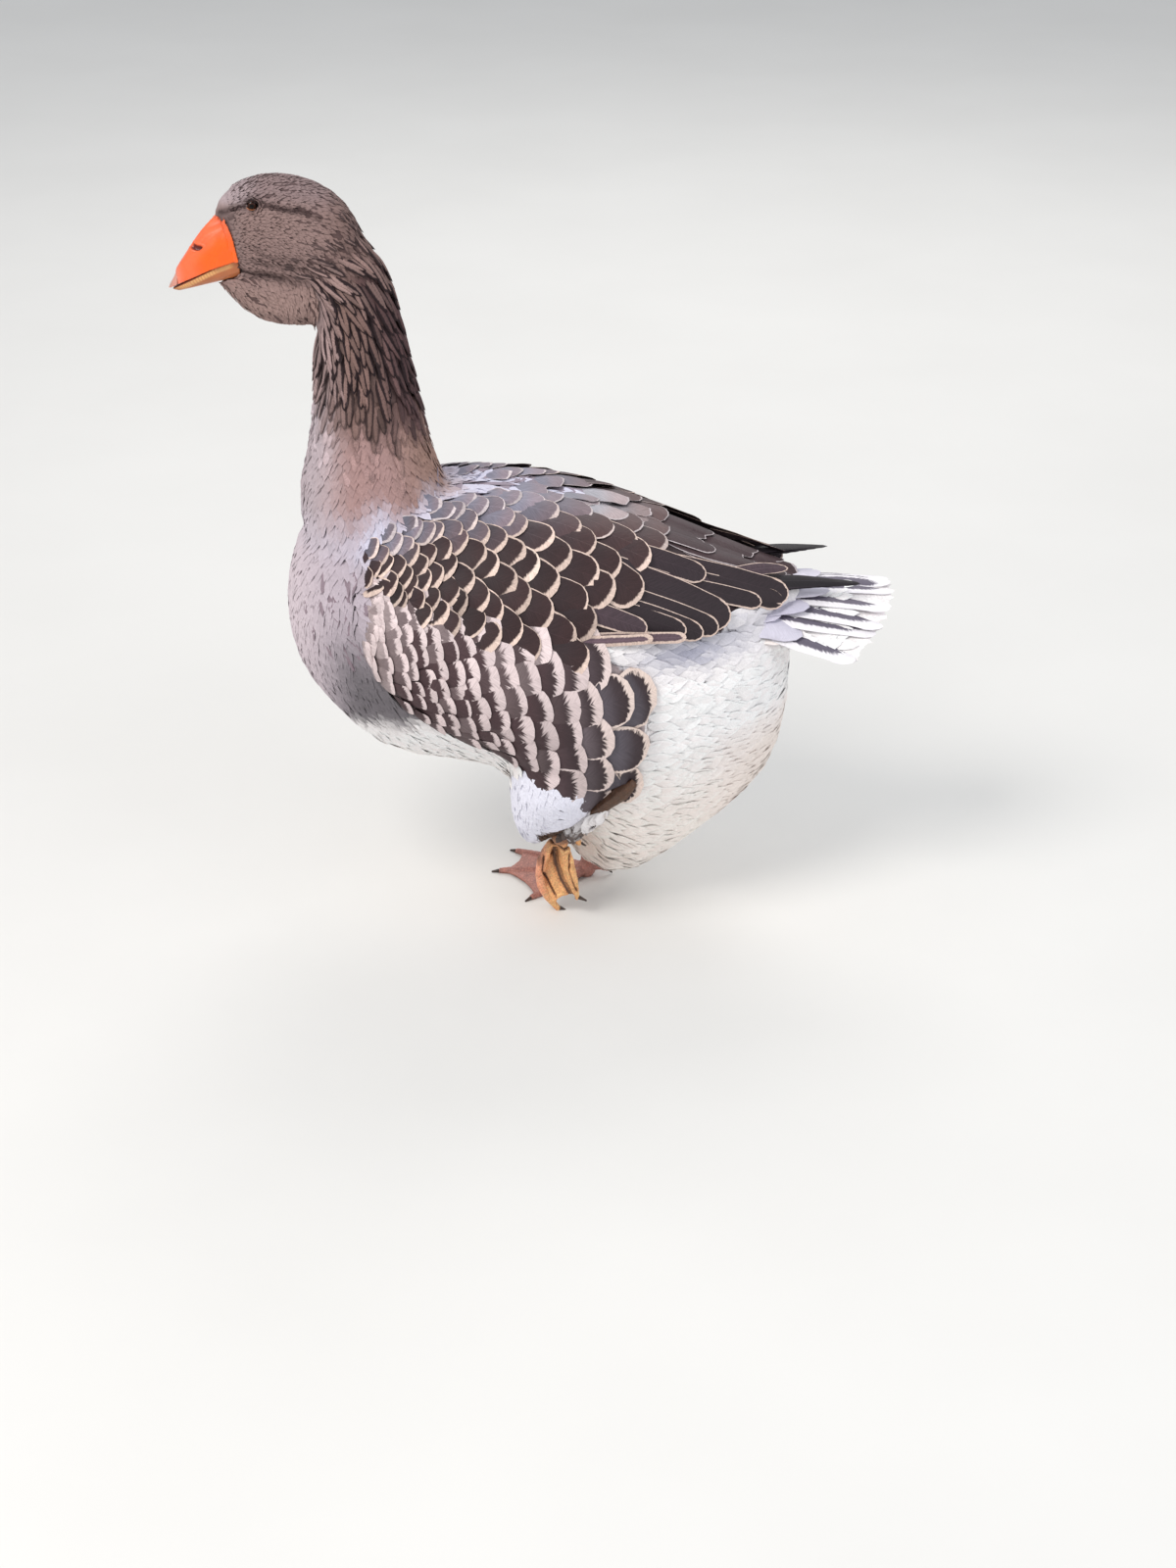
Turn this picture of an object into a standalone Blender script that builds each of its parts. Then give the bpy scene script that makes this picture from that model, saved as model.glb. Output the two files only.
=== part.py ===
"""Domestic goose of the heavy dewlapped grey breed, life size, paused in mid step.

The right foot stands flat, and the left foot is drawn up with its toe tips still on the
floor. Units are metres, +Z is up, the floor is z = 0 and the goose faces -X, so its left
side is -Y. Every sub-part is one closed solid, and GAP parts it from its neighbours.
"""

import math

import bpy
import numpy as np
from mathutils import Vector

GAP = 0.0003            # clear space between touching sub-parts
CUT_GROWTH = 1.5        # a cutter grows by this many gaps, to allow for its facets
BURY = 0.012            # how far a laid-on part reaches into the body before it is cut

RIGHT, LEFT = 1, -1     # side signs along Y

# facets: rings along each sub-part, and points round it or steps across it
FACETS = {
    "trunk": (23, 20), "neck": (12, 16), "head": (15, 18), "dewlap": (8, 10),
    "bill": (8, 10), "nail": (5, 10), "eye": (7, 10), "wing": (16, 6), "flank": (12, 5),
    "primaries": (7, 8), "thigh": (9, 14), "shank": (7, 8), "toe": (7, 6), "web": (7, 4),
    "hind_toe": (5, 6), "ball": (6, 8), "claw": (3, 6),
}
SHARP_ANGLE = math.radians(50)

# ---------------------------------------------------------------- body dimensions
# x, height of the widest line, rise above it, drop below it, half width
TRUNK = (
    (-0.2355, 0.305, 0.012, 0.012, 0.014),
    (-0.230, 0.305, 0.043, 0.043, 0.050),
    (-0.218, 0.303, 0.072, 0.072, 0.074),
    (-0.199, 0.300, 0.098, 0.094, 0.095),
    (-0.170, 0.295, 0.117, 0.119, 0.116),
    (-0.135, 0.290, 0.125, 0.135, 0.132),
    (-0.090, 0.285, 0.130, 0.136, 0.142),
    (-0.045, 0.280, 0.133, 0.140, 0.146),
    (-0.005, 0.275, 0.133, 0.175, 0.146),
    (0.030, 0.270, 0.130, 0.232, 0.143),
    (0.060, 0.262, 0.129, 0.243, 0.139),
    (0.095, 0.255, 0.122, 0.226, 0.131),
    (0.130, 0.250, 0.111, 0.195, 0.119),
    (0.165, 0.250, 0.096, 0.167, 0.103),
    (0.195, 0.250, 0.084, 0.138, 0.082),
    (0.215, 0.252, 0.071, 0.110, 0.060),
    (0.226, 0.256, 0.054, 0.072, 0.038),
    (0.230, 0.262, 0.018, 0.020, 0.014),
)
TRUNK_BACK_POWER = 2.0    # superellipse powers: a round back over a slimmer belly
TRUNK_BELLY_POWER = 1.85
PAUNCH_CLEFT = 0.007      # depth of the crease between the two lobes of the paunch
PAUNCH_CLEFT_WIDTH = 0.016
LEG_HOLLOW = 0.35         # how far the flanks of the paunch draw in where the shanks pass
LEG_HOLLOW_X, LEG_HOLLOW_REACH = 0.034, 0.030
LEG_HOLLOW_TOP, LEG_HOLLOW_BLEND = 0.175, 0.09   # height where it begins, and its fade
PAUNCH_CLEFT_FRONT, PAUNCH_CLEFT_BACK = 0.0, 0.215
PAUNCH_CLEFT_BLEND = 0.030

# x, z of the axis, forward tilt of the axis from vertical in degrees, half depth, half width
NECK = (
    (-0.135, 0.330, -12, 0.080, 0.096),
    (-0.146, 0.385, -10, 0.078, 0.086),
    (-0.1535, 0.428, -7, 0.063, 0.069),
    (-0.1575, 0.470, -4, 0.0515, 0.053),
    (-0.1600, 0.514, 0, 0.0437, 0.0435),
    (-0.1645, 0.556, 6, 0.0380, 0.0365),
    (-0.1700, 0.590, 16, 0.0360, 0.0322),
    (-0.1800, 0.618, 36, 0.0345, 0.0295),
    (-0.1960, 0.640, 60, 0.0320, 0.0285),
)

# x, height of the widest line, rise, drop, half width
HEAD = (
    (-0.2905, 0.6430, 0.0150, 0.0150, 0.0095),
    (-0.2860, 0.6430, 0.0325, 0.0260, 0.0130),
    (-0.2790, 0.6440, 0.0410, 0.0330, 0.0165),
    (-0.2690, 0.6450, 0.0475, 0.0380, 0.0215),
    (-0.2540, 0.6470, 0.0515, 0.0415, 0.0272),
    (-0.2360, 0.6490, 0.0520, 0.0445, 0.0312),
    (-0.2120, 0.6490, 0.0490, 0.0470, 0.0335),
    (-0.1880, 0.6450, 0.0420, 0.0470, 0.0330),
    (-0.1690, 0.6400, 0.0280, 0.0380, 0.0260),
    (-0.1600, 0.6360, 0.0100, 0.0150, 0.0110),
)
HEAD_POWER = 2.15

# x, top, bottom, half width
DEWLAP = (
    (-0.2890, 0.6120, 0.6040, 0.0050),
    (-0.2780, 0.6250, 0.5930, 0.0110),
    (-0.2600, 0.6320, 0.5740, 0.0155),
    (-0.2420, 0.6350, 0.5670, 0.0185),
    (-0.2200, 0.6350, 0.5640, 0.0205),
    (-0.2000, 0.6300, 0.5660, 0.0210),
    (-0.1840, 0.6150, 0.5800, 0.0150),
)
DEWLAP_WIDEST = 0.45       # share of its height at which it is widest

# ---------------------------------------------------------------- bill
BILL_BASE_TOP = (-0.2890, 0.6625)      # x, z where the culmen meets the forehead
BILL_TIP_TOP = (-0.3265, 0.6075)
GAPE = (-0.2725, 0.6265)               # x, z of the mouth line at the cheek
BILL_TIP_LOW = (-0.3300, 0.5985)
LOWER_BASE = (-0.2720, 0.6085)         # x, z under the lower bill at the chin
LOWER_TIP = (-0.3230, 0.5960)
BILL_HALF_WIDTH = 0.0182
BILL_TIP_HALF_WIDTH = 0.0075
NAIL_START = 0.84                      # share of the bill's length where the nail begins
BILL_TAPER = 1.25                      # how late the bill narrows
BILL_ROUNDING = 0.86                   # share of the length where the tip begins to round in
BILL_ROUND_END = 1.005                 # share where that rounding would close the bill
BILL_BLUNT = 0.03                      # least share, squared, of the width kept at the tip
NAIL_BEND, NAIL_DROP = 0.93, 0.55      # share where the nail turns down, and how far it does
CULMEN_SAG, MOUTH_RISE = 0.0022, 0.0016
BILL_BASE_POWER, BILL_TIP_POWER = 2.9, 2.3   # the base is boxy and the tip is round
LOWER_WIDTH = 0.86                     # width of the lower bill beside that of the upper
LOWER_END, LOWER_WIDTH_END = 0.97, 0.95   # shares where the lower bill ends and stops narrowing
MOUTH_GAP = 0.0006
NAIL_GAP = 0.008                       # share left open between the nail and the bill
BILL_ROOT = 0.10                       # share by which the bill is set into the head

EYE_RADIUS = 0.0078
EYE_PLACE = (-0.2530, 0.0215, 0.6765)  # x, distance from the midline, z

# ---------------------------------------------------------------- wings, flanks and tail
# x, lower edge and upper edge as angles round the body, 0 at its widest and 90 on the back
WING = (
    (-0.164, 39, 45),
    (-0.150, 31, 55),
    (-0.125, 26, 64),
    (-0.095, 23, 72),
    (-0.050, 20, 79),
    (0.000, 18, 83),
    (0.050, 22, 84),
    (0.100, 27, 84),
    (0.145, 29, 84),
    (0.185, 36, 83),
    (0.215, 44, 82),
    (0.236, 56, 80),
)
# the wings' own carrying section past the rump: x, widest height, rise, half width
WING_REAR = (
    (0.150, 0.250, 0.1020, 0.110),
    (0.185, 0.256, 0.0820, 0.088),
    (0.215, 0.266, 0.0620, 0.068),
    (0.245, 0.276, 0.0450, 0.052),
)
WING_EDGE, WING_CROWN = 0.004, 0.0105  # thickness at the rim and in the middle

# x, lower edge and upper edge in degrees
FLANK = (
    (-0.168, 8, 26),
    (-0.158, -4, 33),
    (-0.138, -15, 27),
    (-0.108, -25, 23),
    (-0.074, -34, 20),
    (-0.030, -38, 18),
    (0.005, -36, 17),
    (0.035, -30, 17),
    (0.062, -26, 14),
    (0.082, -21, 8),
    (0.094, -14, -2),
)
FLANK_EDGE, FLANK_CROWN = 0.005, 0.017
PAD_END = 0.06                         # how far along its swell a wing or flank begins
PAD_ROUND = 0.8                        # below 1 the pad is fuller near its rims

TAIL_PIVOT = (0.160, 0.304)            # x, z from which the tail feathers fan
TAIL_SPREAD = 33                       # degrees to each side
TAIL_LENGTH, TAIL_SIDE_LENGTH = 0.1702, 0.150
TAIL_FEATHERS = 13
TAIL_DROOP = 0.040                     # how far the outer feathers hang below the middle ones
TAIL_EDGE = 0.0035
TAIL_ROOT_THICKNESS = 0.075
TAIL_NOTCH = 0.006
TAIL_ROOT_HALF, TAIL_ROOT_SHIFT = 0.030, 0.012   # half width of the root, and its start
TAIL_RISE, TAIL_ARCH = 0.006, 0.010    # lift of the tips, and of the middle of the fan
TAIL_STEPS = 4
TAIL_BULK_POWER, TAIL_SIDE_THINNING = 1.1, 0.75   # how the root's bulk fades back and outwards

# folded primaries: root and tip points of a blade, half width, half thickness
PRIMARIES = {
    LEFT: ((0.165, -0.046, 0.314), (0.294, -0.030, 0.331), 0.018, 0.0042),
    RIGHT: ((0.165, 0.044, 0.318), (0.268, 0.026, 0.3415), 0.018, 0.0042),
}
PRIMARIES_ARCH = 0.006
PRIMARIES_TAPER, PRIMARIES_BLUNT = 2.2, 0.02   # how late the blade narrows, and its tip
PRIMARIES_THINNING = 0.6               # share of its thickness lost by the tip

# ---------------------------------------------------------------- legs
# thigh: points down its axis with the half depth and half width at each
THIGH = {
    LEFT: (
        ((0.028, -0.092, 0.235), 0.056, 0.036),
        ((0.020, -0.096, 0.190), 0.050, 0.040),
        ((0.014, -0.097, 0.155), 0.044, 0.040),
        ((0.009, -0.091, 0.130), 0.038, 0.035),
        ((0.001, -0.084, 0.109), 0.027, 0.025),
        ((-0.006, -0.078, 0.094), 0.015, 0.015),
        ((-0.009, -0.075, 0.086), 0.006, 0.007),
    ),
    RIGHT: (
        ((0.028, 0.088, 0.235), 0.058, 0.036),
        ((0.020, 0.092, 0.190), 0.056, 0.040),
        ((0.018, 0.090, 0.150), 0.044, 0.037),
        ((0.028, 0.086, 0.122), 0.030, 0.029),
        ((0.040, 0.082, 0.104), 0.019, 0.019),
        ((0.046, 0.080, 0.095), 0.009, 0.009),
    ),
}
HOCK = {LEFT: (0.084, -0.129, 0.170), RIGHT: (0.050, 0.080, 0.107)}
BALL = {LEFT: (0.0163, -0.078, 0.0915), RIGHT: (0.040, 0.022, 0.0078)}
SHANK_LOW, SHANK_MID, SHANK_HOCK = 0.0068, 0.0060, 0.0085   # radii up the shank
SHANK_FLATNESS = 0.88                  # the shank is narrower across than it is deep
HOCK_START, HOCK_BLEND = 0.70, 0.25    # shares of the shank over which it swells to the hock
HOCK_END, HOCK_CLOSE, HOCK_BLUNT = 0.90, 0.11, 0.15   # where and how its end rounds off
BALL_RADIUS = 0.0098

# toe: name -> (bend point, tip point)
TOES = {
    LEFT: {
        "middle": ((-0.022, -0.060, 0.042), (0.014, -0.052, 0.0008)),
        "outer": ((0.028, -0.085, 0.056), (0.031, -0.066, 0.0190)),
        "inner": ((-0.012, -0.050, 0.052), (0.006, -0.040, 0.0150)),
    },
    RIGHT: {
        "middle": ((0.000, 0.023, 0.0045), (-0.045, 0.027, 0.0020)),
        "outer": ((0.012, 0.044, 0.0045), (-0.029, 0.071, 0.0020)),
        "inner": ((0.018, -0.002, 0.0045), (-0.013, -0.031, 0.0020)),
    },
}
HIND_TOE = {
    LEFT: ((0.030, -0.071, 0.092), (0.034, -0.067, 0.077)),
    RIGHT: ((0.056, 0.023, 0.0120), (0.062, 0.024, 0.0050)),
}
TOE_BASE, TOE_TIP = 0.0060, 0.0040     # radii
HIND_BASE, HIND_TIP = 0.0045, 0.0032
KNUCKLE, KNUCKLES = 0.07, 3            # swelling at each knuckle, and how many a toe has
TOE_END = 0.62                         # how far the very end of a toe narrows
WEB_HALF = 0.0013                      # half the web's thickness
WEB_START, WEB_REACH = 0.05, 0.93      # shares of the toes between which the web spans
WEB_SCALLOP = 0.07                     # how far its free edge is drawn back between toes
WEB_FOLD = {LEFT: 0.008, RIGHT: 0.0}  # how deep the drawn-up web is folded
FOLD_WAY = (0.2, 1.0, 0.0)             # way the drawn-up web folds, towards the midline
CLAW_LENGTH, CLAW_BASE, CLAW_END = 0.0110, 0.0026, 0.0009
CLAW_BURIED = 0.0035                   # how far a claw starts inside its toe
CLAW_DROP = 0.0010
HANGING_CLAW = (0.88, 0.10, -0.38)     # way the claws of the drawn-up foot point
HIND_CLAW_SCALE = 0.75

COLOURS = {                            # base colour, roughness
    "plumage_grey": ((0.300, 0.235, 0.225), 0.80),
    "plumage_pale": ((0.600, 0.560, 0.590), 0.80),
    "plumage_dark": ((0.090, 0.070, 0.075), 0.65),
    "plumage_white": ((0.820, 0.790, 0.780), 0.80),
    "bill_orange": ((0.900, 0.250, 0.050), 0.42),
    "bill_nail": ((0.850, 0.420, 0.320), 0.35),
    "leg_skin": ((0.700, 0.330, 0.150), 0.55),
    "claw_horn": ((0.180, 0.110, 0.080), 0.40),
    "eye_dark": ((0.020, 0.012, 0.008), 0.05),
}

# ---------------------------------------------------------------- small maths
def smooth_rows(rows, count):
    """Rows of numbers joined by a Catmull-Rom spline and read at `count` even steps."""
    table = np.array(rows, float)
    padded = np.vstack((2 * table[0] - table[1], table, 2 * table[-1] - table[-2]))
    made = []
    for place in np.linspace(0, len(table) - 1, count):
        start = min(int(place), len(table) - 2)
        t = place - start
        before, first, second, after = padded[start:start + 4]
        made.append(0.5 * (
            2 * first
            + (second - before) * t
            + (2 * before - 5 * first + 4 * second - after) * t * t
            + (3 * first - before - 3 * second + after) * t ** 3
        ))
    return np.array(made)


def read_at(rows, x):
    """The values of a table of rows at x, its first column."""
    table = smooth_rows(rows, 12 * len(rows))
    return [float(np.interp(x, table[:, 0], column)) for column in table.T[1:]]


def power_wave(wave, power):
    """A sine or cosine raised to 2/power with its sign kept, for a superellipse."""
    return math.copysign(abs(wave) ** (2 / power), wave)


def ease(share):
    """0 to 1 with level ends."""
    share = min(1.0, max(0.0, share))
    return share * share * (3 - 2 * share)


def lerp(first, second, share):
    """A point or number part of the way from first to second."""
    return np.array(first, float) * (1 - share) + np.array(second, float) * share


# ---------------------------------------------------------------- mesh makers
def material(name):
    """The named finish, made once."""
    found = bpy.data.materials.get(name)
    if found:
        return found
    colour, roughness = COLOURS[name]
    made = bpy.data.materials.new(name)
    made.use_nodes = True
    shader = made.node_tree.nodes["Principled BSDF"]
    shader.inputs["Base Color"].default_value = (*colour, 1)
    shader.inputs["Roughness"].default_value = roughness
    shader.inputs["Metallic"].default_value = 0
    return made


def solid(name, points, faces, finish):
    """A mesh object of triangles with its faces turned outwards."""
    split = [(face[0], face[k], face[k + 1]) for face in faces for k in range(1, len(face) - 1)]
    mesh = bpy.data.meshes.new(name)
    mesh.from_pydata([tuple(p) for p in points], [], split)
    mesh.validate()
    mesh.update()
    volume = sum(
        mesh.vertices[t.vertices[0]].co.dot(
            mesh.vertices[t.vertices[1]].co.cross(mesh.vertices[t.vertices[2]].co)
        )
        for t in triangles(mesh)
    )
    if volume < 0:
        mesh.flip_normals()
    made = bpy.data.objects.new(name, mesh)
    bpy.context.scene.collection.objects.link(made)
    made.data.materials.append(material(finish))
    made.data.shade_smooth()
    made.data.set_sharp_from_angle(angle=SHARP_ANGLE)
    return made


def triangles(mesh):
    """The mesh's loop triangles."""
    mesh.calc_loop_triangles()
    return mesh.loop_triangles


def loft(name, rings, finish):
    """A closed skin through rings that all have the same number of points."""
    around = len(rings[0])
    points = [p for ring in rings for p in ring]
    faces = []
    for row in range(len(rings) - 1):
        for k in range(around):
            after = (k + 1) % around
            low, high = row * around, (row + 1) * around
            faces.append((low + k, low + after, high + after, high + k))
    last = (len(rings) - 1) * around
    points.append(np.mean(rings[0], axis=0))
    points.append(np.mean(rings[-1], axis=0))
    for k in range(around):
        after = (k + 1) % around
        faces.append((len(points) - 2, after, k))
        faces.append((len(points) - 1, last + k, last + after))
    return solid(name, points, faces, finish)


def shell(name, outer, inner, finish):
    """A closed slab between two grids of points of the same size."""
    rows, columns = len(outer), len(outer[0])
    points = [p for grid in (outer, inner) for row in grid for p in row]
    lower = rows * columns
    faces = []
    for i in range(rows - 1):
        for j in range(columns - 1):
            a, b = i * columns + j, (i + 1) * columns + j
            faces.append((a, b, b + 1, a + 1))
            faces.append((lower + a, lower + a + 1, lower + b + 1, lower + b))
    rim = [(0, j) for j in range(columns - 1)]
    rim += [(i, columns - 1) for i in range(rows - 1)]
    rim += [(rows - 1, j) for j in range(columns - 1, 0, -1)]
    rim += [(i, 0) for i in range(rows - 1, 0, -1)]
    for k, (i, j) in enumerate(rim):
        i2, j2 = rim[(k + 1) % len(rim)]
        a, b = i * columns + j, i2 * columns + j2
        faces.append((a, b, lower + b, lower + a))
    return solid(name, points, faces, finish)


def oval_ring(x, mid, rise, drop, half, count, top_power=2.0, low_power=2.0):
    """A superellipse ring across X."""
    ring = []
    for k in range(count):
        turn = 2 * math.pi * k / count
        power = top_power if math.sin(turn) >= 0 else low_power
        side = half * power_wave(math.cos(turn), power)
        height = rise if math.sin(turn) >= 0 else drop
        ring.append((x, side, mid + height * power_wave(math.sin(turn), power)))
    return np.array(ring)


def tube_ring(centre, along, radius_a, radius_b, count, upright=(0, 0, 1)):
    """An ellipse ring square to `along`: radius_a sideways and radius_b in the upright way."""
    along = Vector(along).normalized()
    side = along.cross(Vector(upright))
    if side.length < 1e-4:
        side = along.cross(Vector((1, 0, 0)))
    side.normalize()
    rise = side.cross(along).normalized()
    return np.array([
        Vector(centre)
        + side * (radius_a * math.cos(2 * math.pi * k / count))
        + rise * (radius_b * math.sin(2 * math.pi * k / count))
        for k in range(count)
    ])


def tube(name, path, radii, finish, count):
    """A round or oval tube along points; radii are one number or a pair at each point."""
    rings = []
    for k, centre in enumerate(path):
        ahead = path[min(k + 1, len(path) - 1)]
        behind = path[max(k - 1, 0)]
        across, up = radii[k] if hasattr(radii[k], "__len__") else (radii[k], radii[k])
        rings.append(tube_ring(centre, np.subtract(ahead, behind), across, up, count))
    return loft(name, rings, finish)


def bend_curve(start, bend, end, count):
    """Points along a quadratic curve."""
    return [
        (1 - t) ** 2 * np.array(start) + 2 * t * (1 - t) * np.array(bend) + t * t * np.array(end)
        for t in np.linspace(0, 1, count)
    ]


def ball(name, centre, radius, finish, facets):
    """A sphere made of rings; facets is a key of FACETS."""
    made = []
    rings, count = FACETS[facets]
    for k in range(1, rings):
        turn = math.pi * k / rings
        made.append(tube_ring(
            np.array(centre) + (0, 0, radius * math.cos(turn)), (0, 0, 1),
            radius * math.sin(turn), radius * math.sin(turn), count, (1, 0, 0),
        ))
    return loft(name, made, finish)


# ---------------------------------------------------------------- joining and cutting
def as_helper(helper):
    """Leaves a helper object out of the model."""
    helper.hide_render = True
    helper.display_type = "WIRE"
    return helper


def add_boolean(target, other, operation):
    """One exact Boolean step on the target."""
    step = target.modifiers.new(f"{operation.lower()} {other.name}", "BOOLEAN")
    step.operation = operation
    step.object = other
    step.solver = "EXACT"


def grown_copy(source):
    """A helper like the source's own mesh, grown by a gap on all sides."""
    mesh = source.data.copy()
    for point, normal in zip(mesh.vertices, [v.normal.copy() for v in mesh.vertices]):
        point.co += normal * GAP * CUT_GROWTH
    made = bpy.data.objects.new(f"cutter_{source.name}", mesh)
    bpy.context.scene.collection.objects.link(made)
    return as_helper(made)


def clear_of(target, *others):
    """Cuts the target back from its neighbours."""
    for other in others:
        name = f"cutter_{other.name}"
        add_boolean(target, bpy.data.objects.get(name) or grown_copy(other), "DIFFERENCE")


def level_at_floor(target):
    """Cuts off all that reaches below the floor, which leaves flats to stand on."""
    name = "cutter_floor"
    floor = bpy.data.objects.get(name)
    if floor is None:
        reach, depth = 0.4, 0.1
        span = (-reach, reach)
        corners = [(x, y, z) for x in span for y in span for z in (-depth, 0)]
        faces = [(0, 1, 3, 2), (4, 6, 7, 5), (0, 4, 5, 1), (2, 3, 7, 6), (0, 2, 6, 4), (1, 5, 7, 3)]
        floor = as_helper(solid(name, corners, faces, "claw_horn"))
    add_boolean(target, floor, "DIFFERENCE")


# ---------------------------------------------------------------- body
def make_trunk():
    """Breast, back, belly and the two-lobed paunch."""
    rings = []
    along, around = FACETS["trunk"]
    for x, mid, rise, drop, half in smooth_rows(TRUNK, along):
        ring = oval_ring(x, mid, rise, drop, half, around, TRUNK_BACK_POWER, TRUNK_BELLY_POWER)
        cleft = PAUNCH_CLEFT * ease((x - PAUNCH_CLEFT_FRONT) / PAUNCH_CLEFT_BLEND)
        cleft *= ease((PAUNCH_CLEFT_BACK - x) / PAUNCH_CLEFT_BLEND)
        near_leg = math.exp(-((x - LEG_HOLLOW_X) / LEG_HOLLOW_REACH) ** 2)
        for point in ring:
            low = ease((LEG_HOLLOW_TOP - point[2]) / LEG_HOLLOW_BLEND)
            point[1] *= 1 - LEG_HOLLOW * near_leg * low
            if point[2] < mid:
                point[2] += cleft * math.exp(-(point[1] / PAUNCH_CLEFT_WIDTH) ** 2)
        rings.append(ring)
    return loft("trunk", rings, "plumage_white")


def make_neck():
    """The upright neck, wide where it runs into the breast."""
    rings = []
    along, around = FACETS["neck"]
    for x, z, tilt, depth, half in smooth_rows(NECK, along):
        lean = math.radians(tilt)
        axis = (-math.sin(lean), 0, math.cos(lean))
        rings.append(tube_ring((x, 0, z), axis, half, depth, around, (1, 0, 0)))
    return loft("neck", rings, "plumage_grey")


def make_head():
    """Skull and cheeks with the coat on."""
    along, around = FACETS["head"]
    rings = [
        oval_ring(x, mid, rise, drop, half, around, HEAD_POWER, HEAD_POWER)
        for x, mid, rise, drop, half in smooth_rows(HEAD, along)
    ]
    return loft("head", rings, "plumage_grey")


def make_dewlap():
    """The fold of loose skin that hangs under the jaw."""
    rings = []
    along, around = FACETS["dewlap"]
    for x, top, bottom, half in smooth_rows(DEWLAP, along):
        mid = bottom + DEWLAP_WIDEST * (top - bottom)
        rings.append(oval_ring(x, mid, top - mid, mid - bottom, half, around))
    return loft("dewlap", rings, "plumage_grey")


def bill_half_width(share):
    """Half width of the bill along its length, rounded in at the tip."""
    narrowing = (BILL_TIP_HALF_WIDTH - BILL_HALF_WIDTH) * max(0.0, share) ** BILL_TAPER
    rounding = max(0.0, (share - BILL_ROUNDING) / (BILL_ROUND_END - BILL_ROUNDING))
    return (BILL_HALF_WIDTH + narrowing) * math.sqrt(max(BILL_BLUNT, 1 - rounding * rounding))


def mouth_line(share):
    """x and z of the mouth's edge along the bill."""
    x, z = lerp(GAPE, BILL_TIP_LOW, share)
    return np.array((x, z + MOUTH_RISE * math.sin(math.pi * share)))


def arch_ring(low_xz, high_xz, half, power, count):
    """A section of the bill: an arch on a flat base, in the plane through low and high."""
    low, high = np.array(low_xz), np.array(high_xz)
    ring = []
    for k in range(count + 1):
        turn = math.pi * k / count
        x, z = low + (high - low) * power_wave(math.sin(turn), power)
        ring.append((x, half * power_wave(math.cos(turn), power), z))
    ring.append((low[0], 0, low[1]))
    return np.array(ring)


def upper_bill_section(share, count):
    """A section of the upper bill or of its nail."""
    high = lerp(BILL_BASE_TOP, BILL_TIP_TOP, share)
    high[1] -= CULMEN_SAG * math.sin(math.pi * share)
    low = mouth_line(share)
    high = lerp(high, low, NAIL_DROP * ease((share - NAIL_BEND) / (1 - NAIL_BEND)))
    power = BILL_BASE_POWER + (BILL_TIP_POWER - BILL_BASE_POWER) * share
    return arch_ring(low, high, bill_half_width(share), power, count)


def make_bill():
    """Upper bill, its nail and the lower bill; returns the three."""
    along, around = FACETS["bill"]
    shares = np.linspace(-BILL_ROOT, NAIL_START, along)
    bill_upper = loft("bill_upper", [upper_bill_section(s, around) for s in shares], "bill_orange")
    shares = np.linspace(NAIL_START + NAIL_GAP, 1.0, FACETS["nail"][0])
    bill_nail = loft("bill_nail", [upper_bill_section(s, around) for s in shares], "bill_nail")
    rings = []
    for share in np.linspace(-BILL_ROOT, LOWER_END, along):
        high = mouth_line(share) - (0, MOUTH_GAP)
        low = lerp(LOWER_BASE, LOWER_TIP, share)
        half = LOWER_WIDTH * bill_half_width(min(share, LOWER_WIDTH_END))
        rings.append(arch_ring(high, low, half, BILL_TIP_POWER, around))
    return bill_upper, bill_nail, loft("bill_lower", rings, "bill_orange")


# ---------------------------------------------------------------- wings, flanks, tail
def body_point(x, degrees, side, offset, wing=False):
    """A point on the trunk's side at an angle above its widest line, moved outwards."""
    mid, rise, drop, half = read_at(TRUNK, x)
    if wing and x > WING_REAR[0][0]:
        mid, rise, half = read_at(WING_REAR, x)
    turn = math.radians(degrees)
    height = rise if degrees >= 0 else drop
    power = TRUNK_BACK_POWER if degrees >= 0 else TRUNK_BELLY_POWER
    return (
        x,
        side * (half + offset) * power_wave(math.cos(turn), power),
        mid + (height + offset) * power_wave(math.sin(turn), power),
    )


def laid_on(name, outline, side, edge, crown, finish):
    """A rounded pad that lies on the body between the lower and upper lines of its outline."""
    outer, inner = [], []
    wing = name.startswith("wing")
    columns, rows = FACETS["wing" if wing else "flank"]
    first, last = outline[0][0], outline[-1][0]
    for i in range(columns + 1):
        share = i / columns
        x = first + (last - first) * share
        low, high = read_at(outline, x)
        swell = math.sqrt(math.sin(math.pi * (PAD_END + (1 - 2 * PAD_END) * share)))
        row_out, row_in = [], []
        for j in range(rows + 1):
            across = j / rows
            thick = edge + (crown - edge) * swell * max(0.0, math.sin(math.pi * across)) ** PAD_ROUND
            degrees = low + (high - low) * across
            row_out.append(body_point(x, degrees, side, thick, wing))
            row_in.append(body_point(x, degrees, side, -BURY, wing))
        outer.append(row_out)
        inner.append(row_in)
    return shell(name, outer, inner, finish)


def tail_point(place, reach, length):
    """A point on top of the tail: place runs from -1 to 1 across it, reach from root to tip."""
    turn = math.radians(TAIL_SPREAD) * place
    middle = 1 - place * place
    x = TAIL_PIVOT[0] + length * reach * math.cos(turn)
    y = (TAIL_ROOT_SHIFT + length * reach) * math.sin(turn) + TAIL_ROOT_HALF * place * (1 - reach)
    z = TAIL_PIVOT[1] + TAIL_RISE * reach - TAIL_DROOP * (1 - middle) * reach
    return x, y, z + TAIL_ARCH * math.sin(math.pi * reach) * middle


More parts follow.
